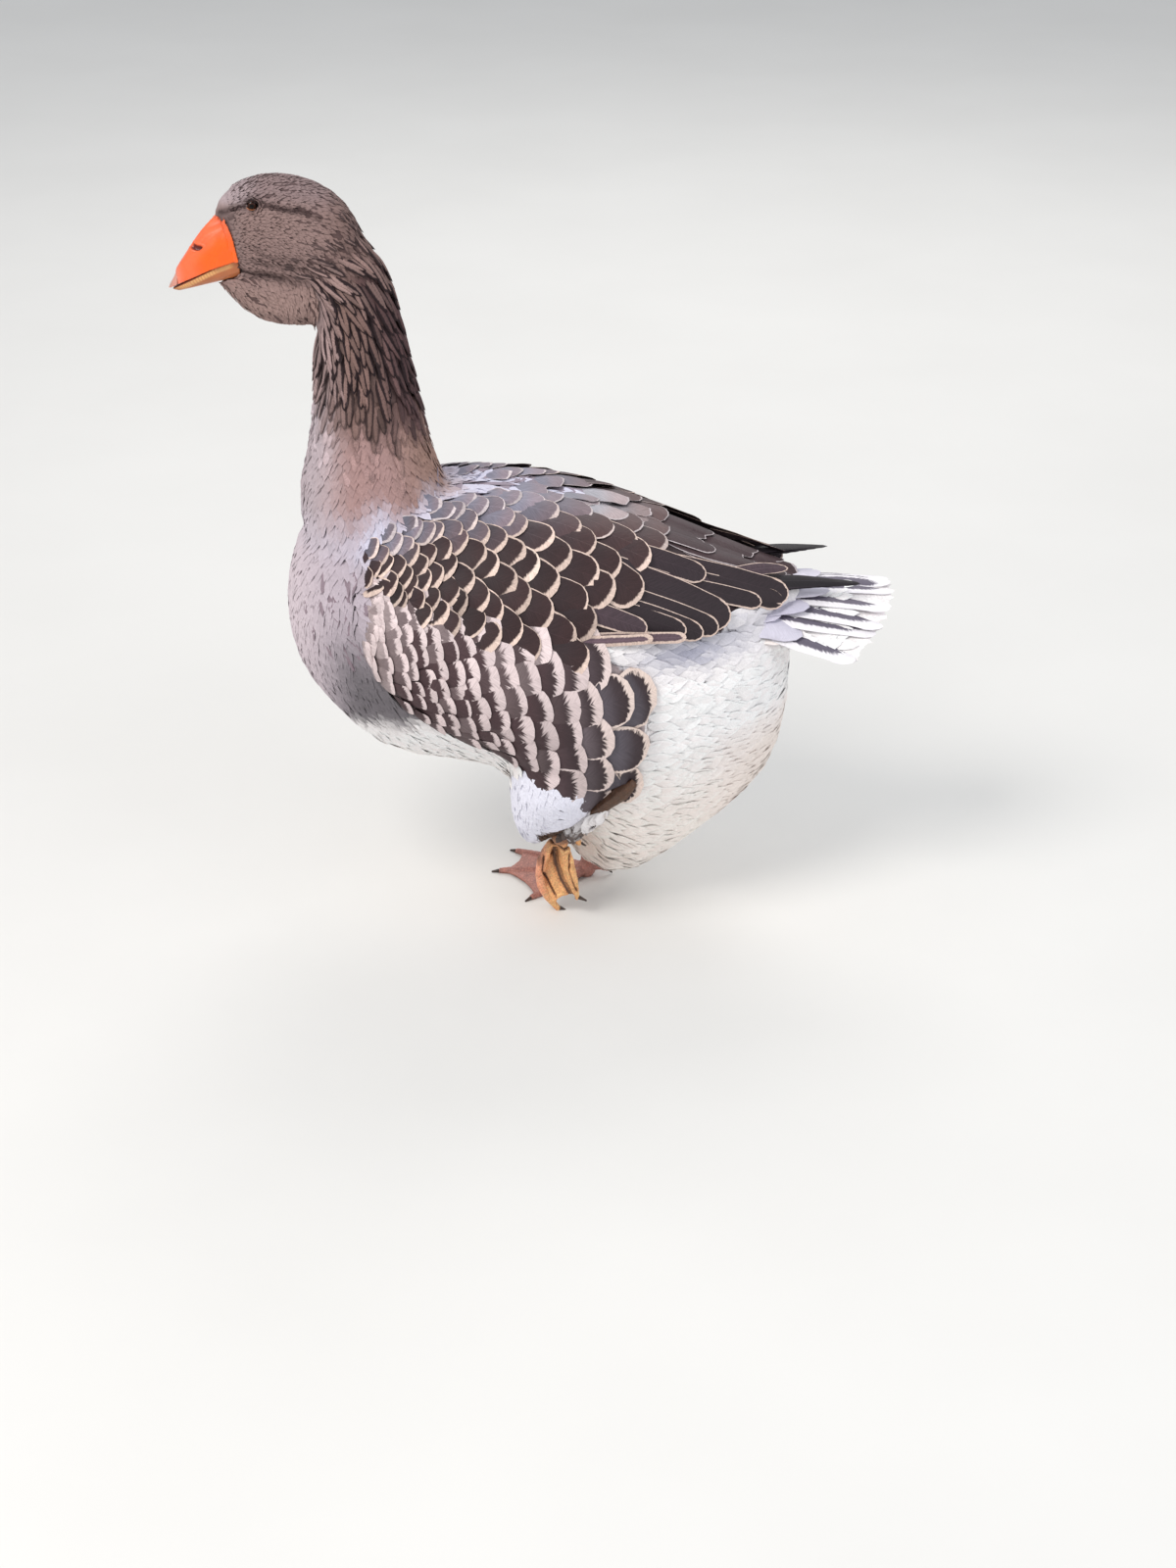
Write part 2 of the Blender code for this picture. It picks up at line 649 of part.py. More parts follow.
def make_tail():
    """The fan of tail feathers with the coverts above and below its root."""
    columns = 2 * TAIL_FEATHERS
    upper, lower = [], []
    for i in range(columns + 1):
        place = 2 * i / columns - 1
        length = TAIL_LENGTH + (TAIL_SIDE_LENGTH - TAIL_LENGTH) * place * place
        length -= TAIL_NOTCH * (1 - i % 2)
        top_row, low_row = [], []
        for j in range(TAIL_STEPS + 1):
            reach = j / TAIL_STEPS
            x, y, z = tail_point(place, reach, length)
            bulk = TAIL_ROOT_THICKNESS * (1 - reach) ** TAIL_BULK_POWER
            bulk *= 1 - TAIL_SIDE_THINNING * place * place
            top_row.append((x, y, z))
            low_row.append((x, y, z - TAIL_EDGE - bulk))
        upper.append(top_row)
        lower.append(low_row)
    return shell("tail", upper, lower, "plumage_white")


def make_primaries(side):
    """The closed blade of long flight feathers that reaches back over the tail."""
    root, tip, half, thick = PRIMARIES[side]
    path, radii = [], []
    along, around = FACETS["primaries"]
    for share in np.linspace(0, 1, along):
        point = lerp(root, tip, share)
        point[2] += PRIMARIES_ARCH * math.sin(math.pi * share)
        path.append(point)
        narrow = math.sqrt(max(PRIMARIES_BLUNT, 1 - share ** PRIMARIES_TAPER))
        radii.append((half * narrow, thick * (1 - PRIMARIES_THINNING * share)))
    return tube(f"primaries_{side_name(side)}", path, radii, "plumage_dark", around)


# ---------------------------------------------------------------- legs
def side_name(side):
    """left or right."""
    return "left" if side == LEFT else "right"


def make_thigh(side):
    """The feathered upper leg."""
    along, around = FACETS["thigh"]
    rows = smooth_rows([(*p, depth, half) for p, depth, half in THIGH[side]], along)
    rings = [tube_ring(row[:3], (0, 0, -1), row[4], row[3], around, (1, 0, 0)) for row in rows]
    return loft(f"thigh_{side_name(side)}", rings, "plumage_white")


def make_shank(side):
    """The bare scaly shank from the hock to the ball of the foot."""
    along, around = FACETS["shank"]
    path, radii = [], []
    for share in np.linspace(0, 1, along):
        path.append(lerp(BALL[side], HOCK[side], share))
        thick = SHANK_MID + (SHANK_LOW - SHANK_MID) * (1 - share) ** 3
        thick += (SHANK_HOCK - SHANK_MID) * ease((share - HOCK_START) / HOCK_BLEND)
        thick *= math.sqrt(max(HOCK_BLUNT, 1 - max(0.0, (share - HOCK_END) / HOCK_CLOSE) ** 2))
        radii.append((thick * SHANK_FLATNESS, thick / SHANK_FLATNESS))
    return tube(f"shank_{side_name(side)}", path, radii, "leg_skin", around)


def toe_path(side, toe):
    """Points along a toe, from the ball to its tip."""
    bend, tip = TOES[side][toe]
    return bend_curve(BALL[side], bend, tip, FACETS["toe"][0])


def make_toe(name, path, base, tip):
    """A toe with its knuckles, as a helper for the foot."""
    radii = []
    for k in range(len(path)):
        share = k / (len(path) - 1)
        thick = base + (tip - base) * share
        radii.append(thick * (1 + KNUCKLE * math.cos(2 * math.pi * share * KNUCKLES)))
    radii[-1] *= TOE_END
    return as_helper(tube(name, path, radii, "leg_skin", FACETS["toe"][1]))


def make_web(name, side, first, second):
    """The skin between two toes, drawn back along its free edge."""
    first_path, second_path = toe_path(side, first), toe_path(side, second)
    across = FACETS["web"][1]
    away = Vector(FOLD_WAY).normalized()
    upper = []
    for i in range(len(first_path)):
        along = WEB_START + (1 - WEB_START) * i / (len(first_path) - 1)
        row = []
        for j in range(across + 1):
            share = j / across
            reach = along * WEB_REACH * (1 - WEB_SCALLOP * math.sin(math.pi * share))
            spot = reach * (len(first_path) - 1)
            whole = min(int(spot), len(first_path) - 2)
            one = lerp(first_path[whole], first_path[whole + 1], spot - whole)
            two = lerp(second_path[whole], second_path[whole + 1], spot - whole)
            fold = WEB_FOLD[side] * math.sin(math.pi * share) * math.sin(math.pi * along)
            row.append(Vector(lerp(one, two, share)) + away * fold)
        upper.append(row)
    normals = grid_normals(upper)
    lower = [[p - n * WEB_HALF for p, n in zip(r, m)] for r, m in zip(upper, normals)]
    upper = [[p + n * WEB_HALF for p, n in zip(r, m)] for r, m in zip(upper, normals)]
    return as_helper(shell(name, upper, lower, "leg_skin"))


def grid_normals(grid):
    """Unit normals of a grid of points."""
    rows, columns = len(grid), len(grid[0])
    made = []
    for i in range(rows):
        row = []
        for j in range(columns):
            down = grid[min(i + 1, rows - 1)][j] - grid[max(i - 1, 0)][j]
            side = grid[max(i, 1)][min(j + 1, columns - 1)] - grid[max(i, 1)][max(j - 1, 0)]
            row.append(down.cross(side).normalized())
        made.append(row)
    return made


def make_claw(name, side, toe_end, along, scale=1.0):
    """A short curved claw that grows out of the end of a toe."""
    along = Vector(along).normalized()
    start = Vector(toe_end) - along * CLAW_BURIED
    way = Vector(HANGING_CLAW).normalized() if side == LEFT else along
    path, radii = [], []
    for share in np.linspace(0, 1, FACETS["claw"][0]):
        drop = Vector((0, 0, -CLAW_DROP * share * share))
        path.append(start + way * (CLAW_LENGTH * scale * share) + drop)
        radii.append(scale * (CLAW_BASE + (CLAW_END - CLAW_BASE) * share))
    return tube(name, path, radii, "claw_horn", FACETS["claw"][1])


def make_foot(side):
    """Toes and web as one solid, and the claws; returns the foot and the list of claws."""
    name = side_name(side)
    foot = ball(f"foot_{name}", BALL[side], BALL_RADIUS, "leg_skin", "ball")
    claws = []
    for toe in TOES[side]:
        path = toe_path(side, toe)
        add_boolean(foot, make_toe(f"helper_{name}_{toe}", path, TOE_BASE, TOE_TIP), "UNION")
        claws.append(make_claw(f"claw_{name}_{toe}", side, path[-1], path[-1] - path[-2]))
    for first, second in (("inner", "middle"), ("middle", "outer")):
        web = make_web(f"helper_{name}_web_{first}", side, first, second)
        add_boolean(foot, web, "UNION")
    bend, tip = HIND_TOE[side]
    path = bend_curve(BALL[side], bend, tip, FACETS["hind_toe"][0])
    hind = make_toe(f"helper_{name}_hind", path, HIND_BASE, HIND_TIP)
    add_boolean(foot, hind, "UNION")
    claws.append(make_claw(f"claw_{name}_hind", side, path[-1], path[-1] - path[-2],
                           HIND_CLAW_SCALE))
    return foot, claws


# ---------------------------------------------------------------- the whole goose
def main():
    """Builds every sub-part and parts them from each other."""
    for old in list(bpy.data.objects):
        bpy.data.objects.remove(old, do_unlink=True)
    trunk, neck, head, dewlap = make_trunk(), make_neck(), make_head(), make_dewlap()
    tail = make_tail()
    bill_upper, bill_nail, bill_lower = make_bill()
    eyes = [
        ball(f"eye_{side_name(side)}", (EYE_PLACE[0], side * EYE_PLACE[1], EYE_PLACE[2]),
             EYE_RADIUS, "eye_dark", "eye")
        for side in (LEFT, RIGHT)
    ]
    clear_of(head, *eyes, bill_upper, bill_lower)
    clear_of(neck, head, trunk)
    clear_of(dewlap, head, neck, bill_lower)
    clear_of(tail, trunk)
    for side in (LEFT, RIGHT):
        name = side_name(side)
        wing = laid_on(f"wing_{name}", WING, side, WING_EDGE, WING_CROWN, "plumage_dark")
        flank = laid_on(f"flank_{name}", FLANK, side, FLANK_EDGE, FLANK_CROWN, "plumage_pale")
        primaries = make_primaries(side)
        thigh, shank = make_thigh(side), make_shank(side)
        foot, claws = make_foot(side)
        clear_of(wing, trunk, neck, tail)
        clear_of(flank, trunk, neck, wing)
        clear_of(primaries, wing, trunk, tail)
        clear_of(trunk, shank)
        clear_of(flank, shank)
        clear_of(thigh, trunk, flank, shank, foot)
        clear_of(shank, foot)
        level_at_floor(foot)
        for claw in claws:
            helper = bpy.data.objects[claw.name.replace("claw_", "helper_")]
            clear_of(claw, helper)
            level_at_floor(claw)


main()
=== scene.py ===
"""Looks of a life-size still domestic goose: one skin under feathers laid as thin solid vanes.

Metres, +Z up, floor at z = 0. The goose faces -X, so its left side is -Y.
"""

from __future__ import annotations

import logging
import math
from collections.abc import Callable
from dataclasses import dataclass, field, replace
from enum import Enum

import bpy
import numpy as np
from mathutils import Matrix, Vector
from mathutils.bvhtree import BVHTree
from mathutils.kdtree import KDTree


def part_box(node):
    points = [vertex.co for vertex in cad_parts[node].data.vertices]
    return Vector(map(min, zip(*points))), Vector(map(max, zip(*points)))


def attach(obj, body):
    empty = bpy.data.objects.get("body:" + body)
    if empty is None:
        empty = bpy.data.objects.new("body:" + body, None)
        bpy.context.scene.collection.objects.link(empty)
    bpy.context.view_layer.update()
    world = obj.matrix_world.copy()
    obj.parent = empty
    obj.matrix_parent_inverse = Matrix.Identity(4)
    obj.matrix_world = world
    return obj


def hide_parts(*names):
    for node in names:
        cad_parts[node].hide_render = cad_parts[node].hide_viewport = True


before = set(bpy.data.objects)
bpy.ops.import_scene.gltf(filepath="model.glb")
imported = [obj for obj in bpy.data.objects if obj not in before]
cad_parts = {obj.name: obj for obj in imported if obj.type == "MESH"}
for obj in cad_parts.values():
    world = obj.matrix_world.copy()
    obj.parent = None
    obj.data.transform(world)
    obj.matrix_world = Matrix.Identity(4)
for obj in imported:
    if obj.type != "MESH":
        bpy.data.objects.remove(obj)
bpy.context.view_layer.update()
LOG = logging.getLogger("goose")
Array = np.ndarray
Pair = tuple[np.ndarray, np.ndarray]
Table = tuple[tuple[float, ...], ...]
Chance = np.random.Generator
Items = bpy.types.bpy_prop_collection
Material = bpy.types.Material
Node = bpy.types.Node
Piece = bpy.types.Object
Socket = bpy.types.NodeSocket
Tree = bpy.types.NodeTree

SHARP_EDGE = math.radians(65)


class Side(Enum):
    """A side of the goose, with its sign along Y."""

    LEFT = -1
    RIGHT = 1

    @property
    def word(self) -> str:
        """left or right."""
        return self.name.lower()


class Dye(Enum):
    """Named colours of the goose, as screen values from 0 to 255."""

    CROWN = (136, 116, 116)
    FOREHEAD = (164, 147, 150)
    CHEEK = (139, 115, 111)
    LORE = (138, 118, 116)
    BROW = (58, 42, 42)
    DEWLAP = (152, 126, 120)
    NECK_BACK = (84, 61, 62)
    NECK_SIDE = (112, 88, 82)
    NECK_FRONT = (140, 119, 118)
    # painted shade in the neck's furrows
    FURROW = (38, 24, 27)
    COLLAR_BACK = (156, 124, 112)
    COLLAR_SIDE = (160, 129, 126)
    COLLAR_FRONT = (179, 165, 170)
    MANTLE = (206, 204, 222)
    MANTLE_STREAK = (124, 104, 114)
    BREAST = (206, 192, 198)
    BREAST_SIDE = (180, 168, 177)
    # painted shade on the lower breast in front of the flank
    LOW_BREAST = (91, 88, 91)
    WHITE = (245, 240, 240)
    BELLY = (246, 234, 228)
    RUMP = (228, 216, 208)
    # blue-grey under the wing's rear edge: partly the feathers' own grey, partly painted shade under
    # the wing
    BLUE_GREY = (156, 156, 174)
    THIGH = (228, 227, 239)
    RUFFLE = (84, 62, 50)
    COVERT = (54, 40, 43)
    COVERT_FRINGE = (212, 188, 176)
    SHOULDER = (134, 132, 148)
    SCAPULAR = (76, 60, 63)
    DORSAL = (98, 86, 89)
    BACK_RIDGE = (184, 182, 190)
    DORSAL_FRINGE = (196, 184, 186)
    TERTIAL = (50, 39, 44)
    PRIMARY = (30, 25, 30)
    FLANK_BAR = (74, 55, 58)
    FLANK_PALE = (216, 198, 198)
    FLANK_SLATE = (94, 88, 96)
    FLANK_DARK = (58, 45, 48)
    FLANK_RIM = (228, 208, 198)
    TAIL_WEB = (104, 98, 112)
    TAIL_WHITE = (240, 236, 240)
    COVERT_LAVENDER = (194, 190, 208)
    BILL_SIDE = (247, 97, 4)
    BILL_RIDGE = (240, 108, 66)
    BILL_TIP = (228, 146, 130)
    BILL_NAIL = (210, 146, 130)
    BILL_LOWER = (186, 108, 62)
    LAMELLAE = (232, 176, 112)
    # painted shade inside the nostrils and along the mouth's gap
    NOSTRIL = (96, 22, 14)
    TOE = (255, 184, 124)
    WEB = (244, 164, 128)
    # painted shade in the folds and hollows of the near foot and under the thigh
    FOLD_DARK = (60, 38, 30)
    FAR_FOOT = (176, 120, 108)
    SHANK = (120, 84, 62)
    CLAW = (52, 38, 32)
    LID = (218, 138, 92)
    IRIS = (58, 30, 20)
    PUPIL = (6, 4, 4)

    def __array__(self, dtype: object = None, copy: object = None) -> Array:
        """The colour as linear light."""
        value = np.array(self.value) / 255.0
        return np.where(value <= 0.04045, value / 12.92, ((value + 0.055) / 1.055) ** 2.4)

    def __mul__(self, factor: Array | float) -> Array:
        """The linear colour times a factor."""
        return np.array(self) * factor


# --- small maths
def ease(value: Array, low: float, high: float) -> Array:
    """Smooth steps from 0 where value is low to 1 where it is high, also with low above high."""
    share = np.clip((np.asarray(value, float) - low) / (high - low), 0.0, 1.0)
    return share * share * (3 - 2 * share)


def blend(first: Array, second: Array, share: Array) -> Array:
    """Colours or vectors part of the way from first to second, one for each share."""
    weight = np.asarray(share, float)[..., None]
    return np.asarray(first, float) * (1 - weight) + np.asarray(second, float) * weight


def painted(base: Array, *coats: Pair) -> Array:
    """Colours laid one over another.

    Args:
        base: The first colour.
        coats: Pairs of a colour and its share at each point.

    Returns:
        One colour for each point.
    """
    for colour, share in coats:
        base = blend(base, colour, share)
    return base


def unit(vectors: Array) -> Array:
    """Vectors scaled to length one."""
    return vectors / np.maximum(np.linalg.norm(vectors, axis=-1, keepdims=True), 1e-12)


def dot(first: Array, second: Array) -> Array:
    """Dot products along the last axis, which is kept."""
    return (first * second).sum(-1, keepdims=True)


def spline(knots: Array, count: int) -> Array:
    """A Catmull-Rom curve read at even steps of its knots.

    Args:
        knots: Points that the curve passes through.
        count: How many points to return.

    Returns:
        Points along the curve.
    """
    table = np.asarray(knots, float)
    padded = np.vstack((2 * table[0] - table[1], table, 2 * table[-1] - table[-2]))
    place = np.linspace(0, len(table) - 1, count)
    start = np.minimum(place.astype(int), len(table) - 2)
    t = (place - start)[:, None]
    before, first, second, after = (padded[start + k] for k in range(4))
    return 0.5 * (
        2 * first
        + (second - before) * t
        + (2 * before - 5 * first + 4 * second - after) * t * t
        + (3 * first - before - 3 * second + after) * t ** 3
    )


def line_distance(places: Array, line: Array) -> Pair:
    """Distance in side view from points to a drawn line.

    Args:
        places: Points in space.
        line: Points of the line as x and z.

    Returns:
        The distances, and how far along the line the nearest spot is, from 0 to 1.
    """
    flat, line = places[:, [0, 2]], np.asarray(line)
    best = np.full(len(flat), 1e9)
    along = np.zeros(len(flat))
    for k in range(len(line) - 1):
        start, step = line[k], line[k + 1] - line[k]
        share = np.clip(((flat - start) @ step) / (step @ step), 0, 1)
        gap = np.linalg.norm(flat - start - share[:, None] * step, axis=1)
        along = np.where(gap < best, (k + share) / (len(line) - 1), along)
        best = np.minimum(best, gap)
    return best, along


def stroke(places: Array, line: Array, wide: float, start: float, end: float) -> Array:
    """Strength of a soft stroke along a line, at full strength between two shares of it."""
    gap, along = line_distance(places, line)
    return np.exp(-(gap / wide) ** 2) * ease(along, 0.0, start) * ease(along, 1.0, end)


# --- surfaces
@dataclass
class Surface:
    """A triangle surface that points can be laid on."""

    points: Array
    faces: Array
    normals: Array = field(init=False)
    tree: BVHTree = field(init=False)

    def __post_init__(self) -> None:
        """Works out point normals and the search tree."""
        a, b, c = (self.points[self.faces[:, k]] for k in range(3))
        face_normals = np.cross(b - a, c - a)
        self.normals = np.zeros_like(self.points)
        for axis in range(3):
            for corner in range(3):
                self.normals[:, axis] += np.bincount(
                    self.faces[:, corner], face_normals[:, axis], len(self.points)
                )
        self.normals = unit(self.normals)
        self.tree = BVHTree.FromPolygons(self.points.tolist(), self.faces.tolist())

    def nearest(self, places: Array) -> Pair:
        """The nearest spots on the surface, and the smooth normals there."""
        return self.read([self.tree.find_nearest(place) for place in places.tolist()])

    def cast(self, origins: Array, ways: Array) -> Pair:
        """The first spots that rays meet, or the nearest spots where they miss.

        Args:
            origins: Where the rays start.
            ways: The ways they go.

        Returns:
            The spots, and the smooth normals there.
        """
        found = []
        for origin, way in zip(origins.tolist(), ways.tolist()):
            hit = self.tree.ray_cast(origin, way)
            if hit[0] is None:
                hit = self.tree.find_nearest(Vector(origin) + Vector(way) * 0.3)
            found.append(hit)
        return self.read(found)

    def read(self, found: list[tuple]) -> Pair:
        """Spots found on the surface, with normals shared out between the faces' corners.

        Args:
            found: What the search tree gave for each spot.

        Returns:
            The spots and their unit normals.
        """
        spots = np.array([hit[0] for hit in found])
        corners = self.faces[np.array([hit[2] for hit in found])]
        a, b, c = (self.points[corners[:, k]] for k in range(3))
        whole = np.cross(b - a, c - a)
        area = np.maximum((whole * whole).sum(1), 1e-24)
        share_a = (np.cross(c - b, spots - b) * whole).sum(1) / area
        share_b = (np.cross(a - c, spots - c) * whole).sum(1) / area
        shares = np.clip(np.stack((share_a, share_b, 1 - share_a - share_b), 1), 0, 1)
        return spots, unit((self.normals[corners] * shares[:, :, None]).sum(1))


def search_tree(points: Array) -> KDTree:
    """A tree that finds the nearest of some points.

    Args:
        points: The points.

    Returns:
        The tree.
    """
    tree = KDTree(len(points))
    for index, spot in enumerate(points.tolist()):
        tree.insert(spot, index)
    tree.balance()
    return tree


def spread_out(points: Array, reach: Array, chance: Chance) -> list[int]:
    """Picks points in random order, none within reach of one picked before.

    Args:
        points: The points.
        reach: Distance that each point keeps free round it.
        chance: Source of the order.

    Returns:
        Indices of the picked points.
    """
    order = chance.permutation(len(points))
    tree = search_tree(points)
    free = np.ones(len(points), bool)
    chosen = []
    for index in order.tolist():
        if free[index]:
            chosen.append(index)
            free[[other for _, other, _ in tree.find_range(points[index], reach[index])]] = False
    return chosen


def fetch(rows: Items, title: str, kind: type = float) -> Array:
    """One attribute of all the rows of mesh data, three numbers each.

    Args:
        rows: Vertices or triangles.
        title: The attribute.
        kind: Type of its numbers.

    Returns:
        A table with three columns.
    """
    out = np.empty(len(rows) * 3, kind)
    rows.foreach_get(title, out)
    return out.reshape(-1, 3)


def node_arrays(name: str, grow: float = 0.0) -> Pair:
    """Points and triangles of a frame node.

    Args:
        name: The node.
        grow: How far its points move out along their normals.

    Returns:
        Points and triangles.
    """
    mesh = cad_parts[name].data
    mesh.calc_loop_triangles()
    points, faces = fetch(mesh.vertices, "co"), fetch(mesh.loop_triangles, "vertices", int)
    _, first, welded = np.unique(points.round(6), axis=0, return_index=True, return_inverse=True)
    points, faces = points[first], welded.reshape(-1)[faces]
    faces = faces[(faces != np.roll(faces, 1, 1)).all(1)]
    if grow:
        a, b, c = (points[faces[:, k]] for k in range(3))
        push = np.zeros_like(points)
        for corner in range(3):
            np.add.at(push, faces[:, corner], unit(np.cross(b - a, c - a)))
        points = points + unit(push) * grow
    return points, faces


def merged(names: tuple[str, ...], grow: float) -> tuple[Array, Array, Array]:
    """Several frame nodes as one list of points and triangles.

    Args:
        names: The nodes.
        grow: How far their points move outwards, so that neighbours overlap.

    Returns:
        Points, triangles and the place in names of each triangle's node.
    """
    points, faces, owners, count = [], [], [], 0
    for index, name in enumerate(names):
        some_points, some_faces = node_arrays(name, grow)
        points.append(some_points)
        faces.append(some_faces + count)
        owners.append(np.full(len(some_faces), index))
        count += len(some_points)
    return np.vstack(points), np.vstack(faces), np.concatenate(owners)


def fused(points: Array, faces: Array, voxel: float) -> Pair:
    """One closed skin round overlapping solids.

    Args:
        points: Points of the solids.
        faces: Their triangles.
        voxel: Size of the steps of the skin.

    Returns:
        Points and four-sided faces of the largest closed piece.
    """
    mesh = bpy.data.meshes.new("fusing")
    mesh.from_pydata(points.tolist(), [], faces.tolist())
    helper = linked("fusing", mesh)
    step = helper.modifiers.new("fuse", "REMESH")
    step.mode = "VOXEL"
    step.voxel_size = voxel
    made = helper.evaluated_get(bpy.context.evaluated_depsgraph_get()).to_mesh()
    out, quads = fetch(made.vertices, "co"), np.array([p.vertices[:] for p in made.polygons])
    bpy.data.objects.remove(helper)
    bpy.data.meshes.remove(mesh)
    return largest_piece(out, quads)


def linked(name: str, data: bpy.types.ID) -> Piece:
    """A new object, linked to the scene.

    Args:
        name: Its name.
        data: Its mesh, lamp or camera.

    Returns:
        The object.
    """
    made = bpy.data.objects.new(name, data)
    bpy.context.scene.collection.objects.link(made)
    return made


def largest_piece(points: Array, quads: Array) -> Pair:
    """The biggest connected piece of a mesh.

    Args:
        points: All points.
        quads: All four-sided faces.

    Returns:
        The piece's points and faces.
    """
    label = np.arange(len(points))
    while True:
        low = label[quads].min(1)
        fresh = label.copy()
        for corner in range(4):
            np.minimum.at(fresh, quads[:, corner], low)
        fresh = np.minimum(fresh, fresh[fresh])
        if (fresh == label).all():
            break
        label = fresh
    kept = label == np.bincount(label).argmax()
    renumbered = np.cumsum(kept) - 1
    return points[kept], renumbered[quads[kept[quads[:, 0]]]]


def smoothed(points: Array, quads: Array, rounds: int) -> Array:
    """Points evened out over the mesh, without loss of size.

    Args:
        points: The mesh's points.
        quads: Its faces.
        rounds: How often it is evened out.

    Returns:
        The evened points.
    """
    ends = np.vstack([quads[:, [k, (k + 1) % 4]] for k in range(4)])
    count = np.maximum(np.bincount(ends[:, 0], minlength=len(points)), 1)[:, None]
    for _ in range(rounds):
        for pull in (0.5, -0.52):
            mean = np.stack([
                np.bincount(ends[:, 0], points[ends[:, 1], axis], len(points)) for axis in range(3)
            ], 1) / count
            points = points + pull * (mean - points)
    return points


def two_triangles(quads: Array) -> Array:
    """Each four-sided face as two triangles."""
    return np.vstack((quads[:, [0, 1, 2]], quads[:, [0, 2, 3]]))


# --- meshes and pieces
def mesh_object(name: str, points: Array, quads: Array, material: Material,
                colours: dict[str, Array] | None = None, floats: dict[str, Array] | None = None,
                maps: dict[str, Array] | None = None) -> Piece:
    """A mesh object with its attributes.

    Args:
        name: The piece's name.
        points: Its points.
        quads: Its three- or four-sided faces.
        material: Its finish.
        colours: Colour attributes, one colour for each point.
        floats: Number attributes, one for each point.
        maps: UV maps, one place for each point, or for each face corner.

    Returns:
        The object, linked to the scene.
    """
    mesh = bpy.data.meshes.new(name)
    mesh.from_pydata(points.tolist(), [], quads.tolist(), shade_flat=False)
    for title, values in (colours or {}).items():
        full = np.column_stack((values, np.ones(len(points)))).astype(np.float32)
        mesh.color_attributes.new(title, "FLOAT_COLOR", "POINT").data.foreach_set(
            "color", full.ravel())
    for title, values in (floats or {}).items():
        mesh.attributes.new(title, "FLOAT", "POINT").data.foreach_set(
            "value", values.astype(np.float32).ravel())
    for title, values in (maps or {}).items():
        corners = values if len(values) == quads.size else values[quads.ravel()]
        mesh.uv_layers.new(name=title).data.foreach_set("uv", corners.astype(np.float32).ravel())
    mesh.materials.append(material)
    mesh.set_sharp_from_angle(angle=SHARP_EDGE)
    return linked(name, mesh)


def settle(piece: Piece, slot: str, *nodes: str) -> Piece:
    """Fixes a piece to the goose and hides the frame nodes that it stands for.

    Args:
        piece: The piece.
        slot: Not used.
        nodes: Frame nodes that it stands for.

    Returns:
        The piece.
    """
    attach(piece, "root")
    if nodes:
        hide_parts(*nodes)
    LOG.info("%s: %d faces", piece.name, len(piece.data.polygons))
    return piece


# --- shader groups
def new_group(name: str, takes: dict[str, float | None], gives: tuple[str, ...]) -> Tree:
    """An empty shader node group with named sockets.

    Args:
        name: The group's name.
        takes: Inputs with their default number, or None for a vector.
        gives: Outputs, all of them numbers.

    Returns:
        The group.
    """
    group = bpy.data.node_groups.new(name, "ShaderNodeTree")
    for title, default in takes.items():
        kind = "NodeSocketVector" if default is None else "NodeSocketFloat"
        made = group.interface.new_socket(title, in_out="INPUT", socket_type=kind)
        if default is not None:
            made.default_value = default
    for title in gives:
        group.interface.new_socket(title, in_out="OUTPUT", socket_type="NodeSocketFloat")
    group.nodes.new("NodeGroupInput")
    group.nodes.new("NodeGroupOutput")
    return group


@dataclass
class Wiring:
    """Adds and joins the nodes of one tree."""

    tree: Tree

    def fill(self, node: Node, values: dict[str | int, object]) -> None:
        """Links or sets some of a node's inputs.

        Args:
            node: The node.
            values: Sockets or plain numbers by the inputs' names or places.
        """
        for title, value in values.items():
            if isinstance(value, Socket):
                self.tree.links.new(value, node.inputs[title])
            else:
                node.inputs[title].default_value = value

    def put(self, kind: str, values: dict[str | int, object], **settings: object) -> Items:
        """Adds a node.

        Args:
            kind: Its type, after the word ShaderNode.
            values: Sockets or plain numbers for its inputs.
            settings: Its other settings.

        Returns:
            Its outputs.
        """
        node = self.tree.nodes.new("ShaderNode" + kind)
        for title, value in settings.items():
            setattr(node, title, value)
        self.fill(node, values)
        return node.outputs

    def math(self, operation: str, *values: object) -> Socket:
        """A Math node's result."""
        return self.put("Math", dict(enumerate(values)), operation=operation)[0]

    def span(self, *values: object) -> Socket:
        """The first value mapped smoothly from the next two numbers to the last two."""
        return self.put("MapRange", dict(enumerate(values)), interpolation_type="SMOOTHSTEP")[0]

    def noise(self, vector: Socket, scale: object, detail: float = 2.0) -> Socket:
        """A noise texture's value."""
        return self.put("TexNoise", {"Vector": vector, "Scale": scale, "Detail": detail})["Fac"]

    def seat(self) -> Socket:
        """Places on the object."""
        return self.put("TexCoord", {})["Object"]

    def read(self, title: str, output: str = "Color") -> Socket:
        """An attribute of the points."""
        return self.put("Attribute", {}, attribute_name=title)[output]

    def dress(self, shader: Node, colour: Socket, group: Items,
              relief: tuple[float, float], values: dict[str, object]) -> None:
        """Feeds a shader from a group that gives shade and height.

        Args:
            shader: The Principled shader.
            colour: Colour before the shade.
            group: The group's outputs.
            relief: Strength and distance of the bump.
            values: The shader's other inputs.
        """
        shaded = self.put("VectorMath", {0: colour, "Scale": group["Shade"]}, operation="SCALE")
        bump = self.put("Bump", {"Strength": relief[0], "Distance": relief[1],
                                 "Height": group["Height"]})
        self.fill(shader, {"Base Color": shaded[0], "Normal": bump["Normal"]} | values)


